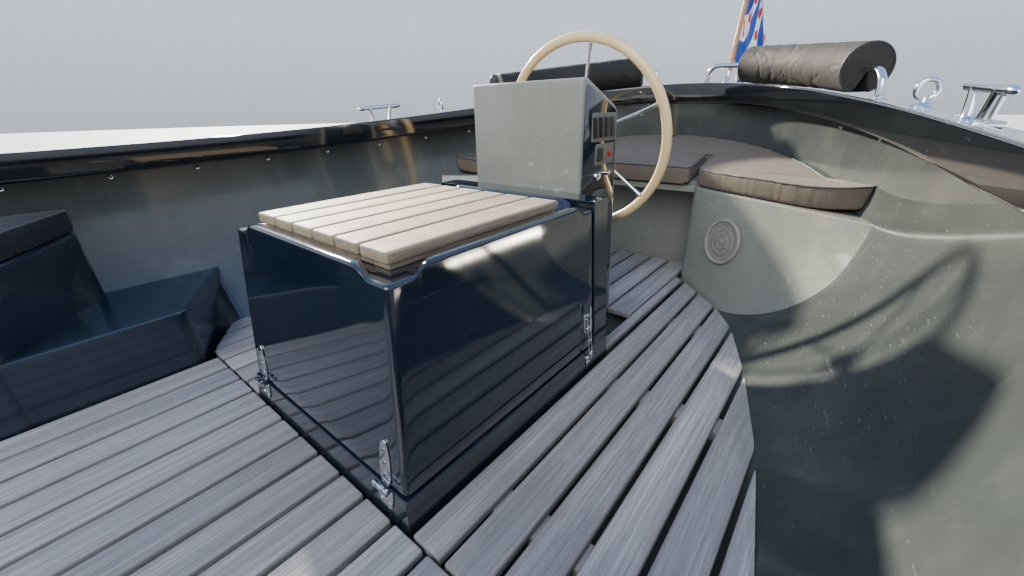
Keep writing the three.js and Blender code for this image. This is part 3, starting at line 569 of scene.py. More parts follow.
GROUPS = {}
MATERIALS = {}


def begin(name, colour, roughness, **sockets):
    """A new material: its node tree, its Principled shader and its Object coordinates. Plain values go on
    sockets."""
    material = bpy.data.materials.new(name)
    material.use_nodes = True
    material.diffuse_color = (*colour, 1)
    tree = material.node_tree
    shader = tree.nodes["Principled BSDF"]
    shader.inputs["Base Color"].default_value = (*colour, 1)
    shader.inputs["Roughness"].default_value = roughness
    for key, value in sockets.items():
        shader.inputs[key.replace("_", " ")].default_value = value
    where = add(tree, "ShaderNodeTexCoord").outputs["Object"]
    MATERIALS[name] = material
    return tree, shader, where


def use(tree, name, **values):
    """The outputs of a shader group, with values or sockets on its inputs."""
    return add(tree, "ShaderNodeGroup", values, node_tree=GROUPS[name]).outputs


def attribute(tree, name):
    """A value kept at the mesh's points."""
    return add(tree, "ShaderNodeAttribute", attribute_name=name).outputs["Fac"]


def mixed(tree, mask, a, b):
    """Colour a where the mask is 0 and colour b where it is 1. The Mix node's colour sockets go by number:
    6 and 7 in, and 2 out."""
    node = add(tree, "ShaderNodeMix", {"Factor": mask}, data_type="RGBA")
    for number, value in ((6, a), (7, b)):
        put(tree, node.inputs[number], (*value, 1) if isinstance(value, tuple) else value)
    return node.outputs[2]


def bumped(tree, shader, *layers):
    """Bump nodes in a chain, each with a height, a distance and a strength, ending at the shader's normal."""
    normal = None
    for height, distance, strength in layers:
        node = add(tree, "ShaderNodeBump", {"Height": height, "Distance": distance, "Strength": strength})
        if normal is not None:
            tree.links.new(normal, node.inputs["Normal"])
        normal = node.outputs[0]
    tree.links.new(normal, shader.inputs["Normal"])


def gelcoat(name, colour, dusty, roughness, marks=0.4, dust=0.35, coat=0.5):
    """Moulded gloss finish: dust in soft patches, run marks down the sides, scuffs and a slight wave."""
    tree, shader, where = begin(name, colour, roughness, Coat_Weight=coat, Coat_Roughness=0.06)
    patches = use(tree, "Soft patches", Vector=where, Scale=2.6, Low=0.46, High=0.72)[0]
    runs_at = add(tree, "ShaderNodeMapping", {"Vector": where, "Scale": (9, 9, 0.9)}).outputs[0]
    runs = use(tree, "Soft patches", Vector=runs_at, Scale=2.2, Low=0.52, High=0.76)[0]
    scuffs = use(tree, "Scuffs", Vector=where, Scale=1.0)
    marked = math_node(tree, "MAXIMUM", times(tree, scuffs[0], 0.7), scuffs[1])
    dirt = plus(tree, patches, times(tree, runs, 0.5))
    dirt = times(tree, dirt, dust, clamp=True)
    tint = mixed(tree, dirt, colour, dusty)
    tint = mixed(tree, times(tree, marked, marks), tint, tuple(min(1, c * 1.6 + 0.16) for c in dusty))
    tree.links.new(tint, shader.inputs["Base Color"])
    rough = times(tree, marked, 0.3)
    rough = plus(tree, spread(tree, dirt, 0, 1, roughness, roughness + 0.28), rough, clamp=True)
    tree.links.new(rough, shader.inputs["Roughness"])
    wave = noise(tree, where, 5.0, 1.0)
    bumped(tree, shader, (wave, 0.004, 0.1), (scuffs[1], 0.0001, 0.3))
    return MATERIALS[name]


def timber(name, pale, dark, stain, roughness, scale=1.0, marked=0.5, coat=0.0):
    """Boards with long grain: each board has its own tone, pores run with the grain and stains lie in
    patches."""
    tree, shader, where = begin(name, pale, roughness, Coat_Weight=coat, Coat_Roughness=0.1)
    tone = attribute(tree, "tone")
    edge = attribute(tree, "edge")
    grain = use(tree, "Long grain", Vector=where, Tone=tone, Scale=scale)
    coarse = spread(tree, grain[0], 0.36, 0.66)
    fine = spread(tree, grain[1], 0.42, 0.62)
    pores = spread(tree, grain[2], 0.56, 0.66)
    colour = mixed(tree, coarse, dark, pale)
    colour = mixed(tree, times(tree, minus(tree, 1.0, fine), 0.5), colour, stain)
    colour = mixed(tree, times(tree, pores, 0.55), colour, stain)
    patches = use(tree, "Soft patches", Vector=where, Scale=3.2, Low=0.5, High=0.8)[0]
    colour = mixed(tree, times(tree, patches, 0.45), colour, dark)
    bright = spread(tree, tone, 0, 1, 0.8, 1.16)
    lit = add(tree, "ShaderNodeVectorMath", {0: colour, "Scale": bright}, operation="SCALE").outputs[0]
    # Each board is mixed towards the stain colour along its long edges and at its ends.
    edge_darkening = times(tree, edge, marked)
    tree.links.new(mixed(tree, edge_darkening, lit, stain), shader.inputs["Base Color"])
    tree.links.new(spread(tree, fine, 0, 1, roughness + 0.08, roughness - 0.08), shader.inputs["Roughness"])
    bumped(tree, shader, (coarse, 0.0010, 0.35), (fine, 0.0006, 0.6), (minus(tree, 1.0, pores), 0.0004, 0.6))
    return MATERIALS[name]


def cloth(name, colour, faded, roughness, threads, wrinkle=0.002, sheen=0.3, weave_depth=0.0003):
    """Outdoor cloth: a plain weave, broad creases, faded patches and a soft sheen."""
    tree, shader, where = begin(name, colour, roughness, Sheen_Weight=sheen, Sheen_Roughness=0.5)
    weave = use(tree, "Plain weave", Vector=where, Threads=threads)[0]
    patches = use(tree, "Soft patches", Vector=where, Scale=4.0, Low=0.4, High=0.72)[0]
    speck = noise(tree, where, 420.0, 2.0)
    tint = mixed(tree, patches, colour, faded)
    tint = mixed(tree, times(tree, spread(tree, speck, 0.45, 0.7), 0.35), tint, scaled(colour, 0.45))
    tree.links.new(tint, shader.inputs["Base Color"])
    tree.links.new(spread(tree, patches, 0, 1, roughness, roughness - 0.12), shader.inputs["Roughness"])
    creases = noise(tree, where, 14.0, 4.0, Distortion=0.7)
    bumped(tree, shader, (creases, wrinkle, 0.5), (weave, weave_depth, 0.4))
    return MATERIALS[name]


def metal(name, colour, roughness):
    """Polished metal with faint wiping marks and smears."""
    tree, shader, where = begin(name, colour, roughness, Metallic=1.0)
    wiped = use(tree, "Scuffs", Vector=where, Scale=3.0)[1]
    smear = use(tree, "Soft patches", Vector=where, Scale=22.0, Low=0.4, High=0.75)[0]
    rough = times(tree, wiped, 0.12)
    rough = plus(tree, spread(tree, smear, 0, 1, roughness, roughness + 0.14), rough, clamp=True)
    tree.links.new(rough, shader.inputs["Roughness"])
    marked = times(tree, smear, 0.25)
    tree.links.new(mixed(tree, marked, colour, scaled(colour, 0.72)), shader.inputs["Base Color"])
    bumped(tree, shader, (wiped, 0.0001, 0.2))
    return MATERIALS[name]


def plastic(name, colour, roughness, grain=0.0002, scale=900.0, dusty=(0.3, 0.3, 0.28), dust=0.2):
    """Grained plastic, rubber or paint: a fine pebble bump with dust in patches."""
    tree, shader, where = begin(name, colour, roughness)
    patches = use(tree, "Soft patches", Vector=where, Scale=6.0, Low=0.45, High=0.8)[0]
    tree.links.new(mixed(tree, times(tree, patches, dust), colour, dusty), shader.inputs["Base Color"])
    tree.links.new(spread(tree, patches, 0, 1, roughness, min(1, roughness + 0.15)),
        shader.inputs["Roughness"])
    pebble = add(tree, "ShaderNodeTexVoronoi", {"Vector": where, "Scale": scale}).outputs[0]
    bumped(tree, shader, (pebble, grain, 0.4))
    return MATERIALS[name]


def grille_finish(name, colour):
    """Loudspeaker grille: rows of round holes, dark inside, read as the cells of a fine regular pattern."""
    tree, shader, where = begin(name, colour, 0.6)
    cells = add(tree, "ShaderNodeTexVoronoi",
        {"Vector": where, "Scale": 240.0, "Randomness": 0.35}).outputs[0]
    hole = spread(tree, cells, 0.30, 0.42, 1, 0)
    patches = use(tree, "Soft patches", Vector=where, Scale=14.0, Low=0.4, High=0.7)[0]
    tint = mixed(tree, times(tree, patches, 0.4), colour, (0.34, 0.33, 0.3))
    tree.links.new(mixed(tree, hole, tint, (0.02, 0.02, 0.02)), shader.inputs["Base Color"])
    tree.links.new(spread(tree, patches, 0, 1, 0.5, 0.7), shader.inputs["Roughness"])
    bumped(tree, shader, (minus(tree, 1.0, hole), 0.0008, 0.8))
    return MATERIALS[name]


def rim_finish(name, colour):
    """Cream wheel rim: segment joints dark at each spoke, one darker grey length and faint yellowing."""
    tree, shader, where = begin(name, colour, 0.34, Coat_Weight=0.3, Coat_Roughness=0.15)
    joint = attribute(tree, "joint")
    marked = attribute(tree, "marked")
    stretch = use(tree, "Soft patches", Vector=where, Scale=9.0, Low=0.35, High=0.7)[0]
    fine = noise(tree, where, 260.0, 3.0)
    tint = mixed(tree, stretch, colour, (0.82, 0.6, 0.29))
    tint = mixed(tree, times(tree, spread(tree, fine, 0.5, 0.8), 0.25), tint, (0.5, 0.4, 0.25))
    # One length of the rim is mixed to a darker grey.
    tint = mixed(tree, marked, tint, (0.16, 0.16, 0.15))
    tint = mixed(tree, spread(tree, joint, 0.0006, 0.0014, 1, 0), tint, (0.2, 0.15, 0.09))
    tree.links.new(tint, shader.inputs["Base Color"])
    tree.links.new(spread(tree, fine, 0.3, 0.7, 0.3, 0.46), shader.inputs["Roughness"])
    bumped(tree, shader, (spread(tree, joint, 0.0, 0.0015), 0.0005, 0.6), (fine, 0.0002, 0.3))
    return MATERIALS[name]


def flag_finish(name):
    """Striped cloth: slanting blue and white bands with small red leaves on the white ones, read from the
    cloth's own two lengths."""
    tree, shader, where = begin(name, (0.02, 0.1, 0.5), 0.8, Sheen_Weight=0.2)
    uv = add(tree, "ShaderNodeUVMap", uv_map="cloth").outputs[0]
    parts = add(tree, "ShaderNodeSeparateXYZ", {0: uv}).outputs
    slant = plus(tree, times(tree, parts[0], 0.82), times(tree, parts[1], 0.57))
    band = math_node(tree, "FRACT", math_node(tree, "DIVIDE", slant, 0.13))
    white = times(tree, spread(tree, band, 0.48, 0.5), spread(tree, band, 0.98, 1.0, 1, 0))
    along = minus(tree, times(tree, parts[1], 0.82), times(tree, parts[0], 0.57))
    cell = minus(tree, math_node(tree, "FRACT", math_node(tree, "DIVIDE", along, 0.1)), 0.5)
    across = minus(tree, band, 0.74)
    offsets = ((cell, 0.1), (across, 0.13))
    squares = [math_node(tree, "POWER", times(tree, offset, size), 2.0) for offset, size in offsets]
    away = math_node(tree, "SQRT", plus(tree, *squares))
    leaf = spread(tree, away, 0.021, 0.023, 1, 0)
    tint = mixed(tree, white, (0.012, 0.06, 0.34), (0.78, 0.78, 0.76))
    tint = mixed(tree, times(tree, leaf, white), tint, (0.6, 0.02, 0.02))
    tree.links.new(tint, shader.inputs["Base Color"])
    weave = use(tree, "Plain weave", Vector=where, Threads=2600.0)[0]
    bumped(tree, shader, (weave, 0.0002, 0.4))
    return MATERIALS[name]


def scaled(colour, share):
    """A colour with each part times a share."""
    return tuple(c * share for c in colour)


def build_materials(colours):
    """Every shader group and finish, the main ones in the colours of the settings."""
    for name, builder in (("Soft patches", group_blotches), ("Scuffs", group_scuffs),
            ("Long grain", group_grain), ("Plain weave", group_weave)):
        GROUPS[name] = builder()
    hull = tuple(colours.hull_colour)
    liner = tuple(colours.liner_colour)
    teak = tuple(colours.teak_colour)
    soft = tuple(colours.cushion_colour)
    gelcoat("Hull gelcoat", hull, (0.16, 0.17, 0.17), 0.14, dust=0.12)
    gelcoat("Liner gelcoat", liner, (0.2, 0.215, 0.2), 0.13, marks=0.16, dust=0.22)
    gelcoat("Box gelcoat", (0.006, 0.012, 0.02), (0.08, 0.1, 0.125), 0.07, marks=0.3, dust=0.06, coat=1.0)
    gelcoat("Step gelcoat", (0.012, 0.021, 0.034), (0.07, 0.09, 0.115), 0.2, marks=0.3, dust=0.1, coat=0.5)
    # The console's light grey-green is partly its own colour and partly a painted reflection of bright sky on
    # its front.
    gelcoat("Console gelcoat and painted reflection", (0.255, 0.26, 0.215), (0.38, 0.385, 0.335), 0.32, marks=0.5, dust=0.5,
        coat=0.3)
    gelcoat("Bench gelcoat", (0.2, 0.207, 0.178), (0.36, 0.365, 0.32), 0.24, marks=0.5, dust=0.35, coat=0.4)
    gelcoat("Gunwale gelcoat", (0.005, 0.006, 0.007), (0.05, 0.055, 0.055), 0.06, marks=0.3, dust=0.1,
        coat=1.0)
    timber("Weathered boards", teak, scaled(teak, 0.66), scaled(teak, 0.32), 0.68)
    seat = tuple(colours.seat_colour)
    timber("Hood boards", seat, scaled(seat, 0.7), scaled(seat, 0.34), 0.55, scale=1.3)
    timber("Varnished wood", (0.56, 0.28, 0.07), (0.36, 0.15, 0.035), (0.2, 0.07, 0.015), 0.25, coat=1.0)
    cloth("Taupe cloth", soft, scaled(soft, 1.25), 0.9, 1500.0, sheen=0.08)
    cloth("Dark cloth", (0.009, 0.010, 0.013), (0.017, 0.018, 0.023), 0.6, 1800.0, sheen=0.1)
    cloth("Roll cloth", (0.0125, 0.0108, 0.0088), (0.022, 0.0185, 0.015), 0.78, 1800.0, wrinkle=0.003,
        sheen=0.04)
    cloth("Piping", (0.010, 0.010, 0.011), (0.018, 0.018, 0.018), 0.5, 2400.0, wrinkle=0.0005)
    metal("Polished steel", (0.78, 0.79, 0.8), 0.07)
    metal("Bronze", (0.6, 0.36, 0.14), 0.28)
    plastic("Dark plastic", (0.012, 0.013, 0.014), 0.42)
    plastic("Speaker plastic", (0.27, 0.255, 0.22), 0.5, grain=0.0003, scale=260.0)
    grille_finish("Speaker grille", (0.24, 0.23, 0.2))
    plastic("Rubber", (0.016, 0.016, 0.016), 0.72)
    plastic("Engine paint", (0.06, 0.12, 0.1), 0.4, scale=300.0)
    plastic("Panel bezel", (0.15, 0.145, 0.13), 0.4, dust=0.15)
    plastic("Red lens", (0.5, 0.01, 0.01), 0.2, grain=0.00005, dust=0.0)
    rim_finish("Cream rim", (0.88, 0.68, 0.36))
    flag_finish("Flag cloth")


# Pieces


class LaunchSettings(bpy.types.PropertyGroup):
    """Sizes and colours that can be changed before the launch is built"""

    hull_colour: bpy.props.FloatVectorProperty(name="Hull", description="Colour of the hull outside",
        subtype="COLOR", default=(0.014, 0.018, 0.019), min=0, max=1)
    liner_colour: bpy.props.FloatVectorProperty(name="Liner", description="Colour of the moulded inside",
        subtype="COLOR", default=(0.05, 0.057, 0.055), min=0, max=1)
    teak_colour: bpy.props.FloatVectorProperty(name="Floor boards",
        description="Colour of the weathered boards", subtype="COLOR", default=(0.52, 0.495, 0.48), min=0,
        max=1)
    seat_colour: bpy.props.FloatVectorProperty(name="Hood boards",
        description="Colour of the seat's boards", subtype="COLOR", default=(0.60, 0.475, 0.325), min=0,
        max=1)
    cushion_colour: bpy.props.FloatVectorProperty(name="Aft cushion",
        description="Colour of the aft cushion's cloth", subtype="COLOR", default=(0.125, 0.1, 0.073),
        min=0, max=1)
    board_rounding: bpy.props.FloatProperty(name="Board rounding",
        description="Radius along the edges of the floor boards", default=0.0045, min=0.001, max=0.009,
        unit="LENGTH")
    stud_pitch: bpy.props.FloatProperty(name="Stud pitch",
        description="Distance between the press studs under the gunwale", default=0.247, min=0.1, max=1.0,
        unit="LENGTH")
    cushion_pressure: bpy.props.FloatProperty(name="Cushion pressure",
        description="How hard the cushions are filled", default=4.0, min=0.0, max=12.0)
    key_power: bpy.props.FloatProperty(name="Key light", description="Strength of the main light",
        default=14.0, min=0, max=50)


def settings():
    """The settings that the panel shows."""
    return bpy.context.scene.launch_settings


class LAUNCH_OT_finishes(bpy.types.Operator):
    """Makes every finish that the pieces use"""

    bl_idname = "launch.finishes"
    bl_label = "Finishes"

    def execute(self, context):
        build_materials(settings())
        return {"FINISHED"}


def lamp(name, kind, at, ahead, power, colour):
    """A light of a kind at a place, turned to shine along a direction. Returns its data."""
    light = bpy.data.lights.new(name, kind)
    light.energy, light.color = power, colour
    obj = added(name, light)
    obj.location = at
    obj.rotation_mode = "QUATERNION"
    obj.rotation_quaternion = Vector(ahead).to_track_quat("-Z", "Y")
    return light


class LAUNCH_OT_stage(bpy.types.Operator):
    """Adds the camera at the photograph's angle, the pale floor round the waterline, the sky and two
    lights"""

    bl_idname = "launch.stage"
    bl_label = "Stage"

    def execute(self, context):
        scene = context.scene
        yaw, pitch, roll = (math.radians(CAMERA[key]) for key in ("yaw", "pitch", "roll"))
        forward = np.array([-math.cos(yaw) * math.cos(pitch), math.sin(yaw) * math.cos(pitch),
            -math.sin(pitch)])
        right = np.cross(forward, (0, 0, 1))
        right /= np.linalg.norm(right)
        rise = np.cross(right, forward)
        c, s = math.cos(roll), math.sin(roll)
        across, upward = c * right + s * rise, -s * right + c * rise
        data = bpy.data.cameras.new("Camera")
        data.sensor_width, data.lens, data.clip_start = 36.0, CAMERA["lens"], 0.01
        camera = added("Camera", data)
        turn = Matrix(np.column_stack([across, upward, -forward]).tolist()).to_4x4()
        camera.matrix_world = Matrix.Translation(CAMERA["at"]) @ turn
        scene.camera = camera

        # Floor: rings from the hull's waterline out to a far circle
        x = lengthways(HULL, 120)
        half = half_at(HULL, x, 0.0)
        wet = half > 0.004
        line = np.concatenate([np.column_stack([x[wet], half[wet]]),
            np.column_stack([x[wet], -half[wet]])[::-1]])
        angle = np.arctan2(line[:, 1], line[:, 0])
        far = np.column_stack([np.cos(angle), np.sin(angle)]) * 40
        steps = (np.linspace(0, 1, 14) ** 2.5)[:, None, None]
        grid = line[None] * (1 - steps) + far[None] * steps
        grid = np.concatenate([grid, np.zeros((*grid.shape[:2], 1))], -1)
        points, faces = skin(grid, wrap_v=True, caps=False)
        mesh = bpy.data.meshes.new("stage_floor")
        mesh.from_pydata(points.tolist(), [], faces)
        floor = added("stage_floor", mesh)
        pale = bpy.data.materials.new("Stage floor")
        pale.use_nodes = True
        sockets = pale.node_tree.nodes["Principled BSDF"].inputs
        sockets["Base Color"].default_value = (0.72, 0.72, 0.71, 1)
        sockets["Roughness"].default_value = 0.7
        mesh.materials.append(pale)

        world = bpy.data.worlds.new("Soft studio")
        world.use_nodes = True
        tree = world.node_tree
        where = add(tree, "ShaderNodeTexCoord").outputs["Generated"]
        height = add(tree, "ShaderNodeSeparateXYZ", {0: where}).outputs[2]
        ramp = add(tree, "ShaderNodeValToRGB", {0: spread(tree, height, -0.15, 0.9)})
        ramp.color_ramp.elements[0].color = (0.34, 0.35, 0.36, 1)
        ramp.color_ramp.elements[1].color = (0.24, 0.40, 0.80, 1)
        middle = ramp.color_ramp.elements.new(0.3)
        middle.color = (0.62, 0.68, 0.76, 1)
        tree.links.new(ramp.outputs[0], tree.nodes["Background"].inputs[0])
        tree.nodes["Background"].inputs[1].default_value = 1.4
        scene.world = world

        # Low light from the starboard quarter, which throws the wheel's and the console's shadows to port
        round_by, down = math.radians(KEY["round"]), math.radians(KEY["down"])
        ahead = (math.cos(round_by) * math.cos(down), math.sin(round_by) * math.cos(down), -math.sin(down))
        sun = lamp("Key", "SUN", KEY["at"], ahead, settings().key_power, KEY["colour"])
        sun.angle = math.radians(KEY["angle"])

        # Broad soft light from ahead and above, for the fronts of the box, the console and the aft bench
        ahead = Vector(FILL["aim"]) - Vector(FILL["at"])
        lamp("Fill", "AREA", FILL["at"], ahead, FILL["power"], FILL["colour"]).size = FILL["size"]
        return {"FINISHED"}


class LAUNCH_OT_hull(bpy.types.Operator):
    """Builds the hull, the liner, the gunwale, the rubbing strake, the foredeck and the press studs"""

    bl_idname = "launch.hull"
    bl_label = "Hull"

    def execute(self, context):
        m = MATERIALS
        v = np.linspace(0, 1, 34)
        shares = 1 - (1 - v) ** 1.8
        x = lengthways(HULL, 150)
        outer = section(HULL, x, shares, 0.05)
        inside = grown(HULL, -0.012)
        inner = section(inside, lengthways(inside, 150), shares, 0.05) + [0, 0, 0.012]
        shell = np.concatenate([outer, inner[:, ::-1]], 1)
        make("hull_skin", [skin(shell, wrap_v=True, caps=False)], m["Hull gelcoat"],
            replaces=("hull_shell",), crease=50)

        v = np.linspace(0, 1, 60)
        shares = 1 - (1 - v) ** 1.5
        x = lengthways(WELL, 170)
        face = section(WELL, x, shares, 0.078, SOLE)
        behind = grown(WELL, 0.01)
        back = section(behind, lengthways(behind, 170), shares, 0.078, SOLE - 0.008)
        lining = np.concatenate([face, back[:, ::-1]], 1)
        make("liner_skin", [skin(lining, wrap_v=True, caps=False)], m["Liner gelcoat"],
            replaces=("inner_liner",), crease=50)

        turn = np.linspace(0, 2 * np.pi, 360, endpoint=False)
        xo, yo = plan_point(GUNWALE_OUT, turn)
        xi, yi = plan_point(GUNWALE_IN, turn)
        top = sheer(xo)
        corner = np.stack([
            np.stack([xi, yi, top - GUNWALE_DEPTH], -1),
            np.stack([xi, yi, top], -1),
            np.stack([xo, yo, top - GUNWALE_CAMBER], -1),
            np.stack([xo, yo, top - GUNWALE_DEPTH], -1),
        ], 1)
        radius = np.array([0.012, 0.009, 0.026, 0.012])[None, :, None]
        before, after = np.roll(corner, 1, 1) - corner, np.roll(corner, -1, 1) - corner
        a, b = (corner + toward(d, radius, 0.4) for d in (before, after))
        t = np.linspace(0, 1, 6)[None, None, :, None]
        rim = bent(a[:, :, None], corner[:, :, None], b[:, :, None], t).reshape(len(turn), -1, 3)
        make("gunwale_ring", [skin(rim, wrap_u=True, wrap_v=True)], m["Gunwale gelcoat"],
            replaces=("gunwale",))

        # Rubbing strake: a half round with two grooves, carried round the hull
        xo, yo = plan_point(grown(HULL, STRAKE["proud"]), turn)
        xi, yi = plan_point(grown(HULL, -0.03), turn)
        out, back_in = np.stack([xo, yo], -1), np.stack([xi, yi], -1)
        t = np.linspace(-np.pi / 2, np.pi / 2, 25)
        bulge = np.cos(t) ** 0.6 * (1 - 0.16 * (np.abs(np.abs(t) - 0.45) < 0.12))
        share = np.concatenate([[0.0], 0.42 + 0.58 * bulge, [0.0]])
        height = np.concatenate([[-1.0], np.sin(t), [1.0]]) * STRAKE["height"] / 2
        plan = back_in[:, None] + (out - back_in)[:, None] * share[None, :, None]
        z = sheer(xo)[:, None] - STRAKE["drop"] - STRAKE["height"] / 2 + height[None]
        band = skin(np.concatenate([plan, z[..., None]], -1), wrap_u=True, wrap_v=True)
        make("strake_band", [band], m["Rubber"], replaces=("rubbing_strake",))

        # Foredeck: a shelf whose edges follow the liner under the gunwale, with an upright after edge
        low, high, after = 0.048, 0.022, 2.18
        run = np.linspace(after, 2.905, 50)
        nose = np.linspace(0, np.pi, 9)[1:-1]
        loop_x = np.concatenate([run[1:], run[::-1], np.full(len(nose), after)])
        loop_drop = np.concatenate([np.full(49, high), np.full(50, low),
            (high + low) / 2 + (low - high) / 2 * np.cos(nose)])
        across = np.linspace(-1, 1, 21)[:, None]
        z = sheer(loop_x) - loop_drop
        half = np.maximum(half_at(WELL, loop_x, z) - 0.002, 0.001)
        grid = np.stack([loop_x + 0 * across, across * half, z + 0 * across], -1)
        make("foredeck_shelf", [skin(grid, wrap_v=True)], m["Liner gelcoat"],
            replaces=("foredeck",))

        # Press studs along the liner, just under the gunwale: a ring round a dark eye
        fine = np.linspace(-2.5, 2.2, 3000)
        z = sheer(fine) - GUNWALE_DEPTH - 0.016
        line = np.column_stack([fine, half_at(WELL, fine, z), z])
        run = run_along(line)
        pitch = settings().stud_pitch
        ring = [(0.0036, 0.0018), (0.004, 0.0042), (0.0062, 0.0046), (0.0077, 0.003), (0.0085, 0.0006),
            (0.0085, -0.002), (0.0036, -0.002), (0.0036, 0.0018)]
        disc = [(0.0004, 0.0024), (0.0039, 0.0024), (0.0039, -0.0015), (0.0004, -0.0015)]
        rings, eyes = [], []
        first = np.interp(-0.795, fine, run) % pitch
        for along in np.arange(first, run[-1], pitch):
            at, ahead = points_at(line, run, [along, along + 0.01])
            normal = np.cross(ahead - at, (0, 0, 1))
            normal *= -np.sign(normal[1]) / np.linalg.norm(normal)
            for profile, parts in ((ring, rings), (disc, eyes)):
                stud = lathe(profile, 16, placed(at, (0, 0, 1), normal))
                parts += [stud, mirrored(stud)]
        make("press_stud_rings", rings, m["Polished steel"])
        make("press_stud_eyes", eyes, m["Dark plastic"])
        return {"FINISHED"}


def board(y0, y1, z0, z1, start, end, radius, sag=0.0):
    """A floor board: a rounded rectangle across the boat, carried from the line start(y) to the line
    end(y), its ends rounded as its edges are. Returns the part and how near each point is to an edge."""
    rings = []
    t = np.linspace(0, np.pi / 2, 4)

    def loop(shrink):
        corners = rectangle(y0 + shrink, y1 - shrink, z0 + shrink, z1 - shrink)
        rim = ring_of(corners, max(radius - shrink, 0.0004) * 1.2, 3)
        flat = lambda a, b: a + (b - a) * np.linspace(0, 1, 6)[1:-1, None]
        return np.vstack([rim[:4], flat(rim[3], rim[4]), rim[4:8], rim[8:12], flat(rim[11], rim[12]),
            rim[12:]])

    def ring(shrink, push, line, sign):
        yz = loop(shrink)
        ends = [line(np.full(len(yz), y), yz[:, 1]) for y in (y0, y1)]
        x = ends[0] + (ends[1] - ends[0]) * (yz[:, 0] - y0) / (y1 - y0)
        return np.column_stack([x + sign * push, yz])

    for a in t:
        rings.append(ring(radius * (1 - math.sin(a)), radius * (1 - math.cos(a)), start, 1))
    first, last = ring(0, radius, start, 1), ring(0, radius, end, -1)
    for share in np.linspace(0, 1, 14)[1:-1]:
        middle_ring = first + (last - first) * share
        middle_ring[:, 2] += sag * math.sin(math.pi * share)
        rings.append(middle_ring)
    for a in t[::-1]:
        rings.append(ring(radius * (1 - math.sin(a)), radius * (1 - math.cos(a)), end, -1))
    grid = np.stack(rings)
    near = np.minimum(np.abs(grid[..., 1] - y0), np.abs(grid[..., 1] - y1))
    edge = np.clip(1 - near / 0.012, 0, 1)
    edge[:6] = np.maximum(edge[:6], 0.6)
    edge[-6:] = np.maximum(edge[-6:], 0.6)
    return skin(grid, wrap_v=True), edge.ravel()


def panel_of_boards(name, spans, z0, z1, start, end, radius, material, battens, replaces, body="hull",
        seed=1):
    """A panel: boards side by side, each with its own tone, and battens under them."""
    rng = np.random.default_rng(seed)
    parts, tones, edges = [], [], []
    for y0, y1 in spans:
        part, edge = board(y0, y1, z0, z1 - abs(rng.normal(0, 0.0003)), start, end, radius,
            rng.normal(0, 0.0004))
        parts.append(part)
        edges.append(edge)
        tones.append(np.full(len(edge), rng.random()))
    for x0, x1, y0, y1, low, high in battens:
        corners = ring_of(rectangle(x0, x1, y0, y1), 0.003, 2)
        part = prism(corners, low, high, 0.002, 2)
        parts.append(part)
        edges.append(np.zeros(len(part[0])))
        tones.append(np.full(len(part[0]), 0.1))
    marks = {"tone": np.concatenate(tones), "edge": np.concatenate(edges)}
    return make(name, parts, material, body, replaces, marks=marks)


def straight(x):
    """An end line of a panel, straight across the boat."""
    return lambda y, z: np.full(len(y), x)


def spans_of(y0, y1, first, pitch=PITCH, slit=SLIT):
    """The two sides of each board from y0 to y1, with slits a pitch apart from the first on."""
    cuts = np.arange(first, y1 - 0.02, pitch)
    lows = np.concatenate([[y0], cuts + slit / 2])
    highs = np.concatenate([cuts - slit / 2, [y1]])
    return list(zip(lows, highs))


class LAUNCH_OT_floor(bpy.types.Operator):
    """Lays the floor boards in their four panels, with battens under them"""

    bl_idname = "launch.floor"
    bl_label = "Floor boards"

    def execute(self, context):
        m, r = MATERIALS["Weathered boards"], settings().board_rounding
        low, high = FLOOR - BOARD, FLOOR
        under = (SOLE + GAP, FLOOR - BOARD + 0.002)
        battens = [(x - 0.03, x + 0.03, -0.64, 0.64, *under) for x in (-0.7, 0.2, 1.1)]
        panel_of_boards("floor_forward_boards", spans_of(-0.645, 0.645, -0.551), low, high, straight(-0.82),
                        lambda y, z: np.interp(np.abs(y), [0.325, 0.645], [1.745, 1.24]), r, m, battens,
                        ("floor_forward",), seed=3)
        battens = [(x - 0.03, x + 0.03, -0.282, 0.282, *under) for x in (-2.0, -2.45)]
        panel_of_boards("floor_aft_boards", spans_of(-0.284, 0.284, -0.19), low, high, straight(-2.6),
            straight(-1.905),
                        r, m, battens, ("floor_aft",), seed=5)

        # Side panels: each board's aft end follows the foot of the aft bench or the liner, at its own height
        xs = np.linspace(-2.6, -0.7, 600)
        lines = [(z, half_at(WELL, xs, z) - 0.002) for z in (low, high)]
        wing_y, wing_x = [p[1] for p in WING_FOOT[1:]], [p[0] for p in WING_FOOT[1:]]

        def aft_end(y, z):
            y = np.abs(y)
            outline = np.interp(y, [0.29, 0.306, 0.62, 0.8931], [-2.388, -2.388, -2.058, -2.058])
            wing = np.interp(y, wing_y, wing_x) + 0.004
            below, above = (np.interp(y, room, xs) for _, room in lines)
            liner = below + (above - below) * np.clip((z - low) / (high - low), 0, 1)
            return np.maximum(outline, np.maximum(wing, liner))

        def fore_end(y, z):
            return np.interp(np.abs(y), [0.29, 0.33, 0.3301, 0.7, 0.893],
                [-1.64, -1.64, -0.826, -0.826, -0.95])

        spans = spans_of(0.29, 0.893, 0.331)
        spans[1] = (0.346, spans[1][1])
        for side, sign in (("port", 1), ("starboard", -1)):
            here = spans if sign > 0 else [(-b, -a) for a, b in spans]
            battens = []
            for x in (-1.0, -1.5, -1.98):
                reach = min(0.885, float(half_at(WELL, np.array(x), 0.022)) - 0.006)
                if x < -1.9:
                    reach = min(reach, 0.68)
                ends = (0.347, reach) if sign > 0 else (-reach, -0.347)
                battens.append((x - 0.03, x + 0.03, *ends, *under))
            panel_of_boards(f"floor_{side}_boards", here, low, high, aft_end, fore_end, r, m, battens,
                            (f"floor_{side}",), seed=7 + sign)
        return {"FINISHED"}


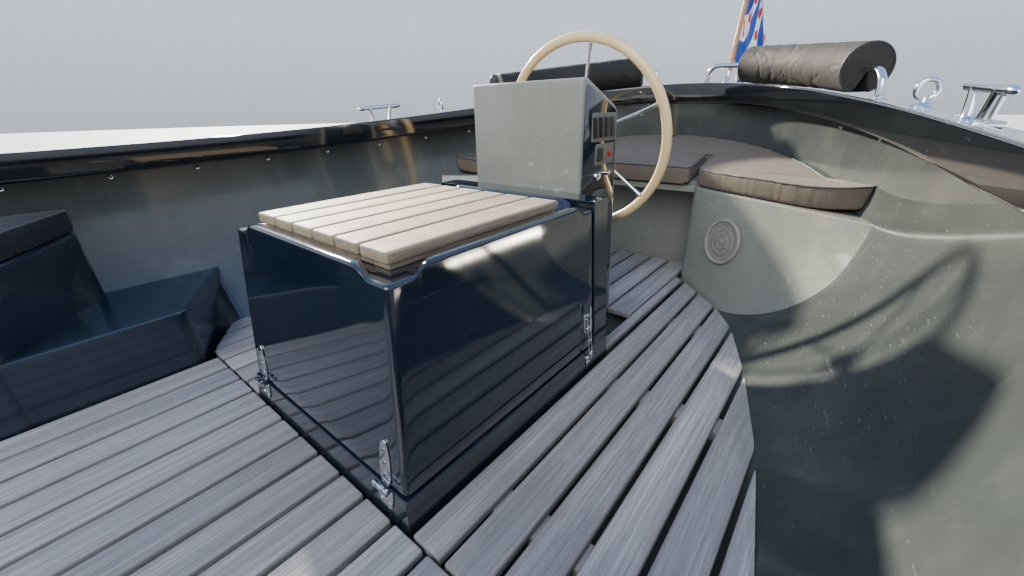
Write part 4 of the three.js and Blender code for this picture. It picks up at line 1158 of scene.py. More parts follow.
class LAUNCH_OT_engine_box(bpy.types.Operator):
    """Builds the engine box: its fixed base, the hood with its raised lip and the seat of boards"""

    bl_idname = "launch.engine_box"
    bl_label = "Engine box"

    def execute(self, context):
        m = MATERIALS
        softened("box_base", "engine_base", m["Box gelcoat"], 0.006)
        recoated("engine_block", m["Engine paint"])

        # Hood: rings from the middle of the inner ceiling, down the inside, round the rim, up the outside,
        # over the raised lip and in to the middle of the top. The lip sinks to the top at the four corners.
        aft, seam, top, lip, wall = BOX["aft"], BOX["seam"], BOX["top"], BOX["lip"], BOX["wall"]
        centre = np.array([(BOX["front"] - BOX["lean"] * top + aft) / 2, 0.0])
        length, width = BOX["front"] - BOX["lean"] * top - aft, 2 * (BOX["half"] - BOX["side"] * top)

        def ring(inset_by, height, extra_aft=0.0):
            half = BOX["half"] - inset_by - BOX["side"] * height
            front = BOX["front"] - inset_by - BOX["lean"] * height
            rim = ring_of(rectangle(aft + extra_aft, front, -half, half), 0.014, 6)
            spans = []
            for k in range(4):
                arc = rim[k * 7 : k * 7 + 7]
                following = rim[(k * 7 + 7) % len(rim)]
                cuts = np.array([0.0, 0.02, 0.04, 0.055, 0.07, 0.085, 0.1, 0.15])
                far = np.linalg.norm(following - arc[-1])
                share = np.concatenate([cuts / far, [0.35, 0.5, 0.65], 1 - cuts[::-1] / far])[1:-1, None]
                spans += [arc, arc[-1] + (following - arc[-1]) * share]
            return np.vstack(spans)

        def level_ring(inset_by, height):
            return raised(ring(inset_by, height), FLOOR + height)

        def lip_height(plan):
            x_out = np.minimum(np.abs(plan[:, 0] - (centre[0] + length / 2)),
                np.abs(plan[:, 0] - (centre[0] - length / 2)))
            y_out = np.abs(np.abs(plan[:, 1]) - width / 2)
            far = np.maximum(x_out, y_out)
            rise = np.clip((far - 0.058) / 0.022, 0, 1)
            return top + (lip - top) * rise * rise * (3 - 2 * rise)

        inner_top = top - wall
        inner = ring(wall, inner_top)
        rings = [raised(centre + (inner - centre) * share, FLOOR + inner_top) for share in (0.02, 0.5)]
        rings.append(level_ring(wall + 0.01, inner_top))
        rings.append(level_ring(wall, inner_top - 0.01))
        rings.append(level_ring(wall, seam + 0.002))
        rings.append(level_ring(wall - 0.004, seam))
        rings.append(level_ring(0.004, seam))
        for a in np.linspace(0, np.pi / 2, 4)[1:]:
            rings.append(level_ring(0.004 * (1 - math.sin(a)), seam + 0.004 * (1 - math.cos(a))))
        for share in (0.1, 0.35, 0.6, 0.85):
            rings.append(level_ring(0, seam + (top - seam) * share))
        edge = 0.008
        crest = lip_height(ring(0, lip))
        for a in np.linspace(0, np.pi / 2, 6):
            plan = ring(edge * (1 - math.cos(a)), top)
            rings.append(raised(plan, FLOOR + (crest - edge * (1 - math.sin(a)))))
        for shrink, share in ((0.022, 1.0), (0.025, 0.9), (0.029, 0.5), (0.033, 0.1), (0.037, 0.0)):
            plan = ring(shrink, top, 0.014 + (shrink - 0.022))
            rings.append(raised(plan, FLOOR + (top + (crest - top) * share)))
        for share in (0.7, 0.3, 0.02):
            rings.append(raised(centre + (ring(0.037, top, 0.029) - centre) * share, FLOOR + top))
        make("hood_shell", [skin(np.stack(rings), wrap_v=True)], m["Box gelcoat"], "hood",
            ("engine_hood",), crease=50)

        # Seat boards run fore and aft on a frame
        pitch = 2 * SEAT["half"] / SEAT["boards"]
        spans = spans_of(-SEAT["half"], SEAT["half"], -SEAT["half"] + pitch, pitch, SEAT["slit"])
        low, high = FLOOR + BOX["top"] + GAP, SEAT["top"] - SEAT["board"] + 0.001
        x0, x1, half = SEAT["aft"] + 0.008, SEAT["front"] - 0.008, SEAT["half"] - 0.008
        bars = [(x0, x1, half - 0.05, half, low, high), (x0, x1, -half, -half + 0.05, low, high),
                (x0, x0 + 0.07, -half + 0.05, half - 0.05, low, high),
                (x1 - 0.07, x1, -half + 0.05, half - 0.05, low, high)]
        panel_of_boards("seat_boards", spans, SEAT["top"] - SEAT["board"], SEAT["top"],
            straight(SEAT["aft"]), straight(SEAT["front"]),
                        0.005, m["Hood boards"], bars, ("hood_seat",), "hood", seed=11)
        return {"FINISHED"}


def on_front(y, height, out):
    """A point on the engine box's front: y across, height over the floor, and out from the leaning face."""
    return np.stack([BOX["front"] - BOX["lean"] * height + out + 0 * y, y + 0 * height,
        FLOOR + height + 0 * y], -1)


class LAUNCH_OT_box_fittings(bpy.types.Operator):
    """Adds the strap hinges on the engine box's front and the toggle latches on its sides"""

    bl_idname = "launch.box_fittings"
    bl_label = "Box fittings"

    def execute(self, context):
        steel, dark = MATERIALS["Polished steel"], MATERIALS["Dark plastic"]
        pin_height = HINGE["z"] - FLOOR
        for side, sign in (("port", 1), ("starboard", -1)):
            y = sign * HINGE["y"]

            def leaf(outline, thickness, base, corner=0.004):
                place = lambda grid: on_front(y + grid[..., 0], grid[..., 1], grid[..., 2] + base)
                return prism(ring_of(np.asarray(outline, float), corner, 4), 0.0, thickness, 0.0009, 3, place)

            def turned(across, height, base, profile):
                at = on_front(np.array(y + across), np.array(height), base)
                return lathe(profile, 16, placed(at, (0, 1, 0), (1, 0, BOX["lean"])))

            def pin(a, b):
                line = np.array([[HINGE["x"], y + a + (b - a) * s, HINGE["z"]] for s in np.linspace(0, 1, 9)])
                return tube(line, 0.0058 * round_ends(line, 2), 20)

            head = [(0.0003, 0.0013), (0.003, 0.0013), (0.0046, 0.0007), (0.005, 0.0), (0.005, -0.001),
                (0.0003, -0.001)]
            slot = [(0.0003, 0.0017), (0.0024, 0.0017), (0.0024, 0.0005), (0.0003, 0.0004)]
            strap = [(-0.0125, 0.0705), (0.0125, 0.0705), (0.0165, 0.095), (0.0165, 0.118), (0.0135, 0.145),
                     (0.0095, 0.165), (0.0, 0.1725), (-0.0095, 0.165), (-0.0135, 0.145), (-0.0165, 0.118),
                     (-0.0165, 0.095)]
            upper = [leaf(strap, 0.003, 0.0002, 0.008), pin(-0.0118, 0.0118),
                     leaf([(-0.0115, pin_height), (0.0115, pin_height), (0.0115, 0.08), (-0.0115, 0.08)],
                     0.0032, 0.0012)]
            upper += [turned(0.0, h, 0.003, head) for h in (0.092, 0.12, 0.15)]
            make(f"hinge_leaf_upper_{side}", upper, steel, "hood", (f"hinge_upper_{side}",))
            lobes = [(-0.0235, 0.066), (-0.024, 0.045), (-0.02, 0.024), (-0.011, 0.0175), (0.0, 0.021),
                (0.011, 0.0175),
                     (0.02, 0.024), (0.024, 0.045), (0.0235, 0.066), (0.0125, 0.06), (-0.0125, 0.06)]
            lower = [leaf(lobes, 0.003, 0.0032, 0.006), pin(-0.0235, -0.0124), pin(0.0124, 0.0235)]
            lower += [turned(a, 0.031, 0.0062, head) for a in (-0.0125, 0.0125)]
            make(f"hinge_leaf_lower_{side}", lower, steel, "hull", (f"hinge_lower_{side}",))
            # Dark discs on the screw heads: painted shade where the drive recesses are.
            drive_shades = [turned(0.0, h, 0.003, slot) for h in (0.092, 0.12, 0.15)]
            make(f"hinge_screw_drive_shade_{side}", drive_shades, dark, "hood")

            def on_side(grid, base):
                x, height, out = grid[..., 0], grid[..., 1], grid[..., 2] + base
                return np.stack([LATCH_X + x, sign * (BOX["half"] - BOX["side"] * height + out),
                    FLOOR + height], -1)

            def plate(outline, thickness, base, rim=0.0009, corner=0.004):
                place = lambda grid: on_side(grid, base)
                return prism(ring_of(np.asarray(outline, float), corner, 4), 0.0, thickness, rim, 2, place)

            def wire(points, radius):
                path = smooth_path(points, 32)
                return tube(on_side(path, 0.0), radius * round_ends(path, 3), 12, up=(1, 0, 0))

            def screw(x, height, base):
                at = on_side(np.array([x, height, 0.0]), base)
                profile = [(0.0003, 0.0016), (0.0025, 0.0014), (0.0042, 0.0006), (0.0045, -0.001),
                    (0.0003, -0.001)]
                return lathe(profile, 14, placed(at, (1, 0, 0), (0, sign, BOX["side"])))

            # Toggle: a base plate with two cheeks, a bent lever that stands off at its top, and a wire loop
            cheek = [(-0.0012, 0.132), (0.0012, 0.132), (0.0012, 0.172), (-0.0012, 0.172)]
            toggle = [plate([(-0.013, 0.122), (0.013, 0.122), (0.0165, 0.15), (0.013, 0.182),
                (-0.013, 0.182), (-0.0165, 0.15)], 0.0025, 0.0002),
                      plate([(x + 0.0115, z) for x, z in cheek], 0.0105, 0.001, corner=0.001),
                      plate([(x - 0.0115, z) for x, z in cheek], 0.0105, 0.001, corner=0.001),
                      wire([(0.0, 0.128, 0.0125), (0.0, 0.165, 0.0135), (0.0, 0.19, 0.0128),
                      (0.002, 0.204, 0.0142), (0.004, 0.2095, 0.0155)], 0.0042),
                      wire([(-0.0075, 0.142, 0.009), (-0.0078, 0.11, 0.0115), (-0.0085, 0.072, 0.0125),
                      (-0.005, 0.06, 0.0145), (0.0, 0.0575, 0.0148),
                            (0.005, 0.06, 0.0145), (0.0085, 0.072, 0.0125), (0.0078, 0.11, 0.0115),
                            (0.0075, 0.142, 0.009)], 0.0017),
                      wire([(-0.0145, 0.142, 0.009), (0.0, 0.142, 0.009), (0.0145, 0.142, 0.009)], 0.0026),
                      wire([(-0.0085, 0.1, 0.0115), (0.0, 0.1, 0.0122), (0.0085, 0.1, 0.0115)], 0.0022)]
            toggle += [screw(x, h, 0.0026) for x, h in ((0.0, 0.131), (0.0, 0.176))]
            make(f"latch_toggle_{side}", toggle, steel, "hood", (f"latch_{side}",))
            hook = [plate([(-0.009, 0.0165), (0.009, 0.0165), (0.0125, 0.046), (-0.0125, 0.046)], 0.0025,
                0.0035),
                    wire([(0.0, 0.036, 0.005), (0.0, 0.046, 0.0125), (0.0, 0.0555, 0.0165),
                    (0.0, 0.06, 0.0125)], 0.0046)]
            hook += [screw(x, 0.026, 0.006) for x in (-0.0052, 0.0052)]
            make(f"latch_hook_{side}", hook, steel, "hull", (f"latch_catch_{side}",))
        return {"FINISHED"}


def rounded_line(line, radius):
    """An open line with its inner corners rounded by quadratic curves that leave each side at the radius."""
    corner = line[1:-1]
    size = np.broadcast_to(radius, len(corner))[:, None]
    a, b = (corner + toward(d, size, 0.45) for d in (line[:-2] - corner, line[2:] - corner))
    middle = bent(a[:, None], corner[:, None], b[:, None], np.linspace(0, 1, 9)[None, :, None])
    return np.vstack([line[:1], middle.reshape(-1, line.shape[1]), line[-1:]])


def cut_at_liner(line, z, room=0.005):
    """The part of a plan line, coming in from outside, that is inside the liner at a height. The cut is where
    y passes the liner's half breadth."""
    fine = resampled(line, 700)
    outside = np.abs(fine[:, 1]) - half_at(WELL, fine[:, 0], z) - room
    first = int(np.argmax(outside <= 0))
    if first == 0:
        return fine
    share = outside[first - 1] / (outside[first - 1] - outside[first])
    cut = fine[first - 1] + (fine[first] - fine[first - 1]) * share
    return np.vstack([cut, fine[first:]])


def moulded_seat(edge, back, top, radius, recess=0.0, wall=0.014):
    """A moulded seat or step: an upright front along an edge line, a rounded rim and a flat top that runs
    to the back line. The rim is a quarter circle: out by radius (1 - cos t) and down by radius (1 - sin t).
    Everything stays within the liner, and the sheet is as thick as wall. A recess sinks the top a little
    inside the rim."""
    inward = back - edge
    far = np.maximum(np.linalg.norm(inward, axis=1, keepdims=True), 1e-6)
    along = np.gradient(edge, axis=0)
    along /= np.linalg.norm(along, axis=1, keepdims=True)
    normal = np.column_stack([-along[:, 1], along[:, 0]])
    normal *= np.sign(np.sum(normal * inward, axis=1, keepdims=True) + 1e-9)
    rows = [raised(edge, SOLE + (top - radius - SOLE) * s) for s in np.linspace(0, 1, 12)]
    for t in np.linspace(0, np.pi / 2, 6)[1:]:
        reach = np.minimum(radius * (1 - math.cos(t)), 0.5 * far)
        rows.append(raised(edge + normal * reach, top - radius * (1 - math.sin(t))))
    for inset_by, sunk in ((0.02, 0), (0.024, recess * 0.3), (0.028, recess * 0.9), (0.032, recess)):
        rows.append(raised(edge + normal * np.minimum(inset_by, 0.6 * far), top - sunk))
    first = rows[-1][:, :2]
    for share in np.linspace(0, 1, 9)[1:]:
        rows.append(raised(first + (back - first) * share, top - recess))
    inner = edge + normal * np.minimum(wall, 0.5 * far)
    rows.append(raised(back, top - recess - wall))
    rows.append(raised(inner, top - recess - wall))
    rows.append(raised(inner, SOLE))
    grid = np.stack(rows, 1)
    room = half_at(WELL, grid[..., 0], grid[..., 2]) + 0.006
    grid[..., 1] = np.clip(grid[..., 1], -room, room)
    return skin(grid, wrap_v=True)


class LAUNCH_OT_benches(bpy.types.Operator):
    """Builds the forward bench, the steps and the aft bench with its loudspeakers"""

    bl_idname = "launch.benches"
    bl_label = "Benches"

    def execute(self, context):
        m = MATERIALS
        mirror = np.array([1, -1])

        # Forward bench: its inner edge from the liner, round the port corner and the bow to the same place to
        # starboard, with the top's far side running along the liner
        half = np.array([(-0.655, 1.2), (-0.655, 1.048), (-0.415, 0.652), (1.25, 0.652), (1.76, 0.33),
            (1.76, 0.0)])
        half = rounded_line(half, [0.02, 0.02, 0.12, 0.12])
        half = np.vstack([cut_at_liner(half[:12], BENCH)[:-1][::12], half[11:]])
        half = resampled(half, 190)
        back_x = np.interp(half[:, 0], [-0.655, 1.1, 1.25, 1.76], [-0.655, 1.1, 1.45, 2.5])
        past = np.clip((0.33 - half[:, 1]) / 0.33, 0, 1) * (half[:, 0] > 1.7)
        back_x = back_x + past * (2.86 - back_x)
        ahead = np.maximum(np.maximum.accumulate(back_x), half[:, 0])
        back = np.column_stack([ahead, half_at(WELL, ahead, BENCH) + 0.005])
        back[half[:, 1] <= 1e-6] = [2.86, 0.0]
        edge = np.vstack([half, half[-2::-1] * mirror])
        far = np.vstack([back, back[-2::-1] * mirror])
        bench = moulded_seat(edge, far, BENCH, 0.014)
        make("bench_forward", [bench], m["Step gelcoat"], replaces=("forward_bench",))

        # Steps: a corner moulding between the bench's end and the liner, its top sunk inside a thin rim
        edge = rounded_line(np.array([(-0.383, 0.655), (-0.785, 0.655), (-1.142, 1.3)]), [0.02])
        edge = np.vstack([edge[:1], resampled(edge[:10], 50)[1:],
            cut_at_liner(edge[9:][::-1], STEP)[::-1][1::14]])
        edge = resampled(edge, 110)
        share = np.linspace(0, 1, len(edge))[:, None]
        inner, outer = np.array([[-0.385, 0.668]]), np.array([[-0.640, 1.075]])
        hull_end = np.array([[-0.640, 1.16]])
        back = np.where(share < 0.55, inner + (outer - inner) * share / 0.55,
                        outer + (hull_end - outer) * (share - 0.55) / 0.45)
        for side, sign in (("port", 1), ("starboard", -1)):
            step = moulded_seat(edge * [1, sign], back * [1, sign], STEP, 0.007, 0.003)
            make(f"side_step_{side}", [step], m["Step gelcoat"], replaces=(f"step_{side}",))

        # Aft bench front: ruled from the foot line up to the top line. At each height the wing is cut where
        # it meets the liner, then it turns the corner by the feet and follows the recess back to the riser.
        foot_wing, top_wing = np.array(WING_FOOT[::-1]), np.array(WING_TOP[::-1])
        corner = [(-2.44, 0.297), (RISER, 0.297), (RISER, 0.0)]
        recess = rounded_line(np.array(corner), [0.03])[1:]
        foot_wing, top_wing = (rounded_line(wing, [0.01, 0.012]) for wing in (foot_wing, top_wing))

        def front_at(z):
            wing = foot_wing + (top_wing - foot_wing) * (z - FLOOR) / (AFT_TOP - FLOOR)
            return np.vstack([resampled(cut_at_liner(wing, z), 90), recess])

        rim, under = 0.009, 0.027
        rows, inner_rows = [], []
        for share in np.linspace(0, 1, 26):
            z = SOLE + (AFT_TOP - rim - SOLE) * share
            line = front_at(z)
            below = np.where(np.arange(len(line)) > 90, min(z, AFT_TOP - under), z)
            rows.append(raised(line, below))
            inner_rows.append(raised(line + [-0.014, 0.004], below))
        grid = np.stack(rows + inner_rows[::-1], 1)
        whole = np.concatenate([grid, grid[-2::-1] * [1, -1, 1]])
        front = skin(whole, wrap_v=True)

        # Aft bench top: from the wings' upper edge and straight across the foot room back to the liner,
        # level and then rising aft
        wing = front_at(AFT_TOP - rim)[:90]
        lip = np.vstack([wing, np.column_stack([np.full(16, -2.44), np.linspace(0.297, 0, 17)[1:]])])
        xs = np.linspace(-2.98, -1.6, 900)
        liner_half = half_at(WELL, xs, AFT_TOP + np.clip(AFT_LEVEL - xs, 0, None) * AFT_SLOPE)
        back_x = np.minimum(np.interp(lip[:, 1], np.maximum.accumulate(liner_half), xs) - 0.003, lip[:, 0])
        inward = np.clip(lip[:, :1] - back_x[:, None], 0, None)
        rows = []
        for t in np.linspace(0, np.pi / 2, 6):
            reach = np.minimum(rim * (1 - math.cos(t)), inward * 0.5)
            rows.append(raised(lip - reach * [1, 0], AFT_TOP - rim * (1 - math.sin(t))))
        first = rows[-1][:, 0]
        for share in np.linspace(0, 1, 24)[1:]:
            x = first + (back_x - first) * share
            rows.append(np.column_stack([x, lip[:, 1],
                AFT_TOP + np.clip(AFT_LEVEL - x, 0, None) * AFT_SLOPE]))
        tops = np.stack(rows, 1)
        bottoms = tops[:, ::-1] - [0, 0, under - 0.0005]
        bottoms[:, -6:] = tops[:, :1] - [0, 0, under - rim]
        grid = np.concatenate([tops, bottoms], 1)
        lid = skin(np.concatenate([grid, grid[-2::-1] * [1, -1, 1]]), wrap_v=True)
        make("bench_aft", [front, lid], m["Bench gelcoat"], replaces=("aft_bench",))

        # Loudspeakers: a turned ring, a domed disc of fine holes with three shallow steps, and four screws
        for side, sign in (("port", 1), ("starboard", -1)):
            out = np.array(SPEAKER["out"]) * [1, sign, 1]
            out /= np.linalg.norm(out)
            place = placed(np.array(SPEAKER["at"]) * [1, sign, 1] + out * 0.001, (0, 0, 1), out)
            profile = [(0.087, -0.004), (0.0895, 0.003), (0.0892, 0.008), (0.0865, 0.0112), (0.0815, 0.012),
                       (0.0775, 0.0102), (0.0762, 0.006), (0.0755, 0.002), (0.0755, -0.004)]
            t = np.linspace(0, 2 * np.pi, 72, endpoint=False)
            r = np.linspace(0.002, 0.0765, 60)
            share = r / 0.0765
            rise = 0.0088 - 0.0035 * share**2 + 0.0007 * np.tanh(np.sin(share * 2 * np.pi * 3.5) * 4)
            disc = np.stack([r[:, None] * np.cos(t), r[:, None] * np.sin(t),
                np.repeat(rise[:, None], 72, 1)], -1)
            grille = skin(place(np.concatenate([disc, disc[::-1] * [1, 1, 0] - [0, 0, 0.004]])), wrap_v=True)
            quarters = np.radians([45, 135, 225, 315])
            holes = place(np.column_stack([0.0825 * np.cos(quarters), 0.0825 * np.sin(quarters),
                np.zeros(4)]))
            head = [(0.0003, 0.0135), (0.0022, 0.0132), (0.0036, 0.0122), (0.0038, 0.01), (0.0003, 0.0098)]
            screws = [lathe(head, 12, placed(hole, (0, 0, 1), out)) for hole in holes]
            make(f"speaker_ring_{side}", [lathe(profile, 72, place)], m["Speaker plastic"],
                 replaces=(f"speaker_{side}",))
            make(f"speaker_grille_{side}", [grille], m["Speaker grille"])
            make(f"speaker_screws_{side}", screws, m["Polished steel"])
        return {"FINISHED"}


def on_edge(y, sign=1):
    """A function that stands a plate drawn in x and z on its edge: its thickness goes out from y to port,
    or to starboard where the sign is -1."""
    return lambda grid: np.stack([grid[..., 0], y + sign * grid[..., 2], grid[..., 1]], -1)


class LAUNCH_OT_console(bpy.types.Operator):
    """Builds the steering console, its panels and switches, and the throttle"""

    bl_idname = "launch.console"
    bl_label = "Console"

    def execute(self, context):
        m = MATERIALS
        front, top, half = CONSOLE["front"], CONSOLE["top"], CONSOLE["half"]
        corners = [(front, 0.0103), (front, top), (front - 0.026, top), (-1.832, 0.782), (-1.895, 0.0103)]
        profile = ring_of(corners, [0.001, 0.012, 0.012, 0.02, 0.001], 6)
        body = prism(profile, -half, half, 0.007, 4, on_edge(0))
        make("console_body", [body], m["Console gelcoat and painted reflection"], replaces=("console",))

        # Gloss dark side panels, a little inside the body's pale edges
        corners = [(front - 0.014, 0.03), (front - 0.014, top - 0.016), (front - 0.03, top - 0.016),
            (-1.822, 0.774), (-1.882, 0.03)]
        side_line = ring_of(corners, 0.01, 4)
        for side, sign in (("port", 1), ("starboard", -1)):
            panel = prism(side_line, -0.002, 0.0012, 0.0006, 2, on_edge(sign * half, sign))
            make(f"console_side_{side}", [panel], m["Box gelcoat"])

        def plate(x0, x1, z0, z1, deep, base=0.0, corner=0.006, rim=0.0015):
            outline = ring_of(rectangle(x0, x1, z0, z1), corner, 4)
            return prism(outline, base, base + deep, rim, 3, on_edge(half + GAP))

        def knob(x, z, profile, sides=24):
            return lathe(profile, sides, placed((x, half + GAP, z), (0, 0, 1), (0, 1, 0)))

        bezel = plate(-1.82, -1.672, 0.688, 0.768, 0.005)
        make("switch_bezel", [bezel], m["Panel bezel"], replaces=("switch_panel",))
        # Rockers: slanted keys, each lower at its middle than at its ends
        rockers = []
        for k in range(4):
            x = -1.802 + 0.0355 * k
            outline = ring_of([(x, 0.7), (x + 0.017, 0.7), (x + 0.028, 0.756), (x + 0.011, 0.756)], 0.002, 3)
            rocker, faces = prism(outline, 0.004, 0.0085, 0.001, 2, on_edge(half + GAP))
            rocker[:, 1] += 0.0022 * np.abs(rocker[:, 2] - 0.728) / 0.028
            rockers.append((rocker, faces))
        make("switch_rockers", rockers, m["Dark plastic"])
        bezel = plate(-1.818, -1.7, 0.62, 0.682, 0.004)
        make("instrument_plate", [bezel], m["Panel bezel"],
            replaces=("instrument_panel",))
        small = [plate(-1.737, -1.711, 0.632, 0.67, 0.006, 0.003, 0.002, 0.001)]
        make("instrument_switches", small, m["Dark plastic"])
        lens = [(0.0003, 0.0125), (0.004, 0.0115), (0.0072, 0.009), (0.0082, 0.004), (0.0003, 0.003)]
        make("instrument_light", [knob(-1.785, 0.651, lens)], m["Red lens"])
        lock = [(0.0003, 0.007), (0.008, 0.007), (0.0085, 0.0095), (0.0125, 0.009), (0.0135, 0.004),
            (0.0135, 0.0), (0.0003, 0.0)]
        button = [(0.0003, 0.0165), (0.005, 0.016), (0.0068, 0.0135), (0.0068, 0.0), (0.0003, 0.0)]
        key = [knob(-1.716, 0.588, lock, 32), knob(-1.775, 0.592, button)]
        make("key_switch", key, m["Polished steel"])

        # Throttle on the starboard side
        out = half + GAP
        outline = ring_of(rectangle(-1.79, -1.7, 0.66, 0.75), 0.018, 5)
        base = prism(outline, 0.0, 0.026, 0.004, 4, on_edge(-out, -1))
        profile = [(0.0003, 0.042), (0.012, 0.0415), (0.016, 0.038), (0.0165, 0.02), (0.0003, 0.02)]
        boss = lathe(profile, 28, placed((-1.745, -out, 0.705), (0, 0, 1), (0, -1, 0)))
        off = -out - 0.034
        arm = [(-1.745, off, 0.7), (-1.75, -out - 0.035, 0.76), (-1.76, off, 0.84), (-1.762, off, 0.87)]
        arm = smooth_path(arm, 20)
        grip = smooth_path([(-1.762, off, 0.845), (-1.763, off, 0.87), (-1.764, off, 0.895)], 14)
        handle = tube(grip, 0.0165 * round_ends(grip, 5), 20, up=(0, 1, 0))
        make("throttle_lever", [base, boss, handle], m["Dark plastic"],
            replaces=("throttle",))
        make("throttle_arm", [tube(arm, 0.0068, 14, up=(0, 1, 0))], m["Polished steel"])
        return {"FINISHED"}


class LAUNCH_OT_wheel(bpy.types.Operator):
    """Builds the steering wheel: its cream rim, polished spokes and hub, and the column behind it"""

    bl_idname = "launch.wheel"
    bl_label = "Steering wheel"

    def execute(self, context):
        m = MATERIALS
        lean, big, small = WHEEL["lean"], WHEEL["radius"], WHEEL["rim"]
        # The wheel's axis points aft and up, and its plane's second direction is across the boat
        axis = np.array([-math.cos(lean), 0.0, math.sin(lean)])
        place = placed((WHEEL["x"], 0, WHEEL["z"]), (math.sin(lean), 0, math.cos(lean)), axis)
        count, sides = 216, 28
        a = np.linspace(0, 2 * np.pi, count, endpoint=False)
        b = np.linspace(0, 2 * np.pi, sides, endpoint=False)
        ripple = 1 - 0.05 * np.exp(-(((b - np.pi / 2 + np.pi) % (2 * np.pi) - np.pi) / 0.5) ** 2)
        radius = big + (small * ripple)[None] * np.cos(b)[None]
        height = (small * np.sin(b))[None] + np.zeros((count, 1))
        grid = np.stack([radius * np.cos(a)[:, None], radius * np.sin(a)[:, None], height], -1)
        spoke_at = WHEEL["turn"] + np.arange(WHEEL["spokes"]) * 2 * np.pi / WHEEL["spokes"]
        gap_between = 2 * np.pi / WHEEL["spokes"]
        apart = (a - WHEEL["turn"]) % gap_between
        apart = np.minimum(apart, gap_between - apart) * big
        joint = np.repeat(apart[:, None], sides, 1)
        # One length of the rim, centred at the last angle in WHEEL, is coloured darker grey.
        from_dark_length = (a - WHEEL["marked"] + np.pi) % (2 * np.pi) - np.pi
        marked = np.repeat(np.exp(-((from_dark_length / 0.17) ** 6))[:, None], sides, 1)
        rim = skin(place(grid), wrap_u=True, wrap_v=True)
        marks = {"joint": joint, "marked": marked * 0.8}
        make("wheel_rim_ring", [rim], m["Cream rim"], "steering_wheel", ("wheel_rim",),
            marks=marks)

        hub = [(0.0003, 0.016), (0.02, 0.0155), (0.03, 0.0135), (0.037, 0.010), (0.0385, 0.004),
            (0.041, -0.008), (0.044, -0.0205), (0.0003, -0.021)]
        nut = [(0.0003, 0.024), (0.007, 0.0235), (0.0115, 0.0205), (0.012, 0.015), (0.0003, 0.014)]
        parts = [lathe(hub, 40, place), lathe(nut, 24, place)]
        for angle in spoke_at:
            share = np.linspace(0, 1, 26)
            run = 0.026 + (big - small - 0.026 - 0.0009) * share
            size = 0.0055 + 0.0045 * np.exp(-share * 14) + 0.0035 * np.exp(-(1 - share) * 22)
            rise = -0.006 + 0.006 * share
            line = place(np.column_stack([run * math.cos(angle), run * math.sin(angle), rise]))
            parts.append(tube(line, size, 16, up=tuple(axis)))
        make("wheel_spokes_hub", parts, m["Polished steel"], "steering_wheel", ("wheel_spokes",))
        column = [(0.0003, -0.0215), (0.0205, -0.0216), (0.0218, -0.024), (0.0218, -0.098), (0.03, -0.1),
                  (0.046, -0.106), (0.048, -0.112), (0.048, -0.128), (0.0003, -0.13)]
        make("steering_column", [lathe(column, 36, place)], m["Dark plastic"], "hull",
            ("steering_boss",))
        return {"FINISHED"}


def stuffed(name, node, material, pin_lines, voxel, frames):
    """A filled cushion from its CAD solid: remeshed evenly, swollen by a short cloth simulation with its
    seams held, and each point's move capped. The voxels are small enough that no subdivision is needed
    afterwards."""
    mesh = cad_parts[node].data.copy()
    mesh.name = name
    mesh.materials.clear()
    work = bmesh.new()
    work.from_mesh(mesh)
    bmesh.ops.remove_doubles(work, verts=work.verts, dist=2e-5)
    work.normal_update()
    work.to_mesh(mesh)
    work.free()
    obj = added(name, mesh)
    remesh = obj.modifiers.new("Even mesh", "REMESH")
    remesh.mode, remesh.voxel_size = "VOXEL", voxel
    smooth = obj.modifiers.new("Soft corners", "SMOOTH")
    smooth.factor, smooth.iterations = 0.5, 3
    apply_modifiers(obj)
    rest = points_of(obj.data)
    normals = np.zeros(len(obj.data.vertices) * 3)
    obj.data.vertices.foreach_get("normal", normals)
    normals = normals.reshape(-1, 3)
    near = np.full(len(rest), 9.0)
    for line in pin_lines:
        tree = KDTree(len(line))
        for number, point in enumerate(line):
            tree.insert(point, number)
        tree.balance()
        near = np.minimum(near, np.array([tree.find(point)[2] for point in rest]))
    start = rest - normals * DRAWN_IN
    put_points(obj.data, start)
    base = rest[:, 2] < rest[:, 2].min() + 0.006
    weight = np.maximum(np.clip(1.3 - near / 0.010, 0, 1), base * 0.9)
    held = obj.vertex_groups.new(name="Seams")
    for w in (0.25, 0.5, 0.75, 1.0):
        chosen = np.where((weight > w - 0.25) & (weight <= w))[0]
        if len(chosen):
            held.add(chosen.tolist(), w, "REPLACE")
    filling = obj.modifiers.new("Filling", "CLOTH")
    s = filling.settings
    s.quality, s.mass, s.air_damping = 3, 0.3, 2.0
    s.tension_stiffness = s.compression_stiffness = 12
    s.shear_stiffness, s.bending_stiffness = 4, 0.4
    s.use_pressure, s.uniform_pressure_force = True, settings().cushion_pressure
    s.effector_weights.gravity = 0
    s.vertex_group_mass = "Seams"
    s.pin_stiffness = 1.0
    filling.collision_settings.use_collision = False
    for number in range(1, frames + 1):
        bpy.context.scene.frame_set(number)
    swollen = obj.evaluated_get(bpy.context.evaluated_depsgraph_get())
    moved = points_of(swollen.data)
    obj.modifiers.remove(filling)
    bpy.context.scene.frame_set(1)
    step = moved - start
    far = np.linalg.norm(step, axis=1, keepdims=True)
    put_points(obj.data, start + step * np.minimum(1, SWELL / np.maximum(far, 1e-9)))
    for key in list(obj.vertex_groups):
        obj.vertex_groups.remove(key)
    # The cloth is drawn in along its seams and puckers a little beside them
    points = points_of(obj.data)
    pucker = np.exp(-((near / 0.007) ** 2)) * 0.0012
    phase = points[:, 0] * 190 + 3 * np.sin(points[:, 1] * 60)
    ripple = 0.0006 * np.exp(-((near / 0.03) ** 2)) * np.sin(phase)
    points += normals * (ripple - pucker)[:, None]
    points[:, 2] = np.maximum(points[:, 2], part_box(node)[0].z)
    put_points(obj.data, points)
    mesh = obj.data
    bpy.data.objects.remove(obj)
    cushion = finish_piece(name, mesh, material, "hull", (node,), 180)
    return cushion


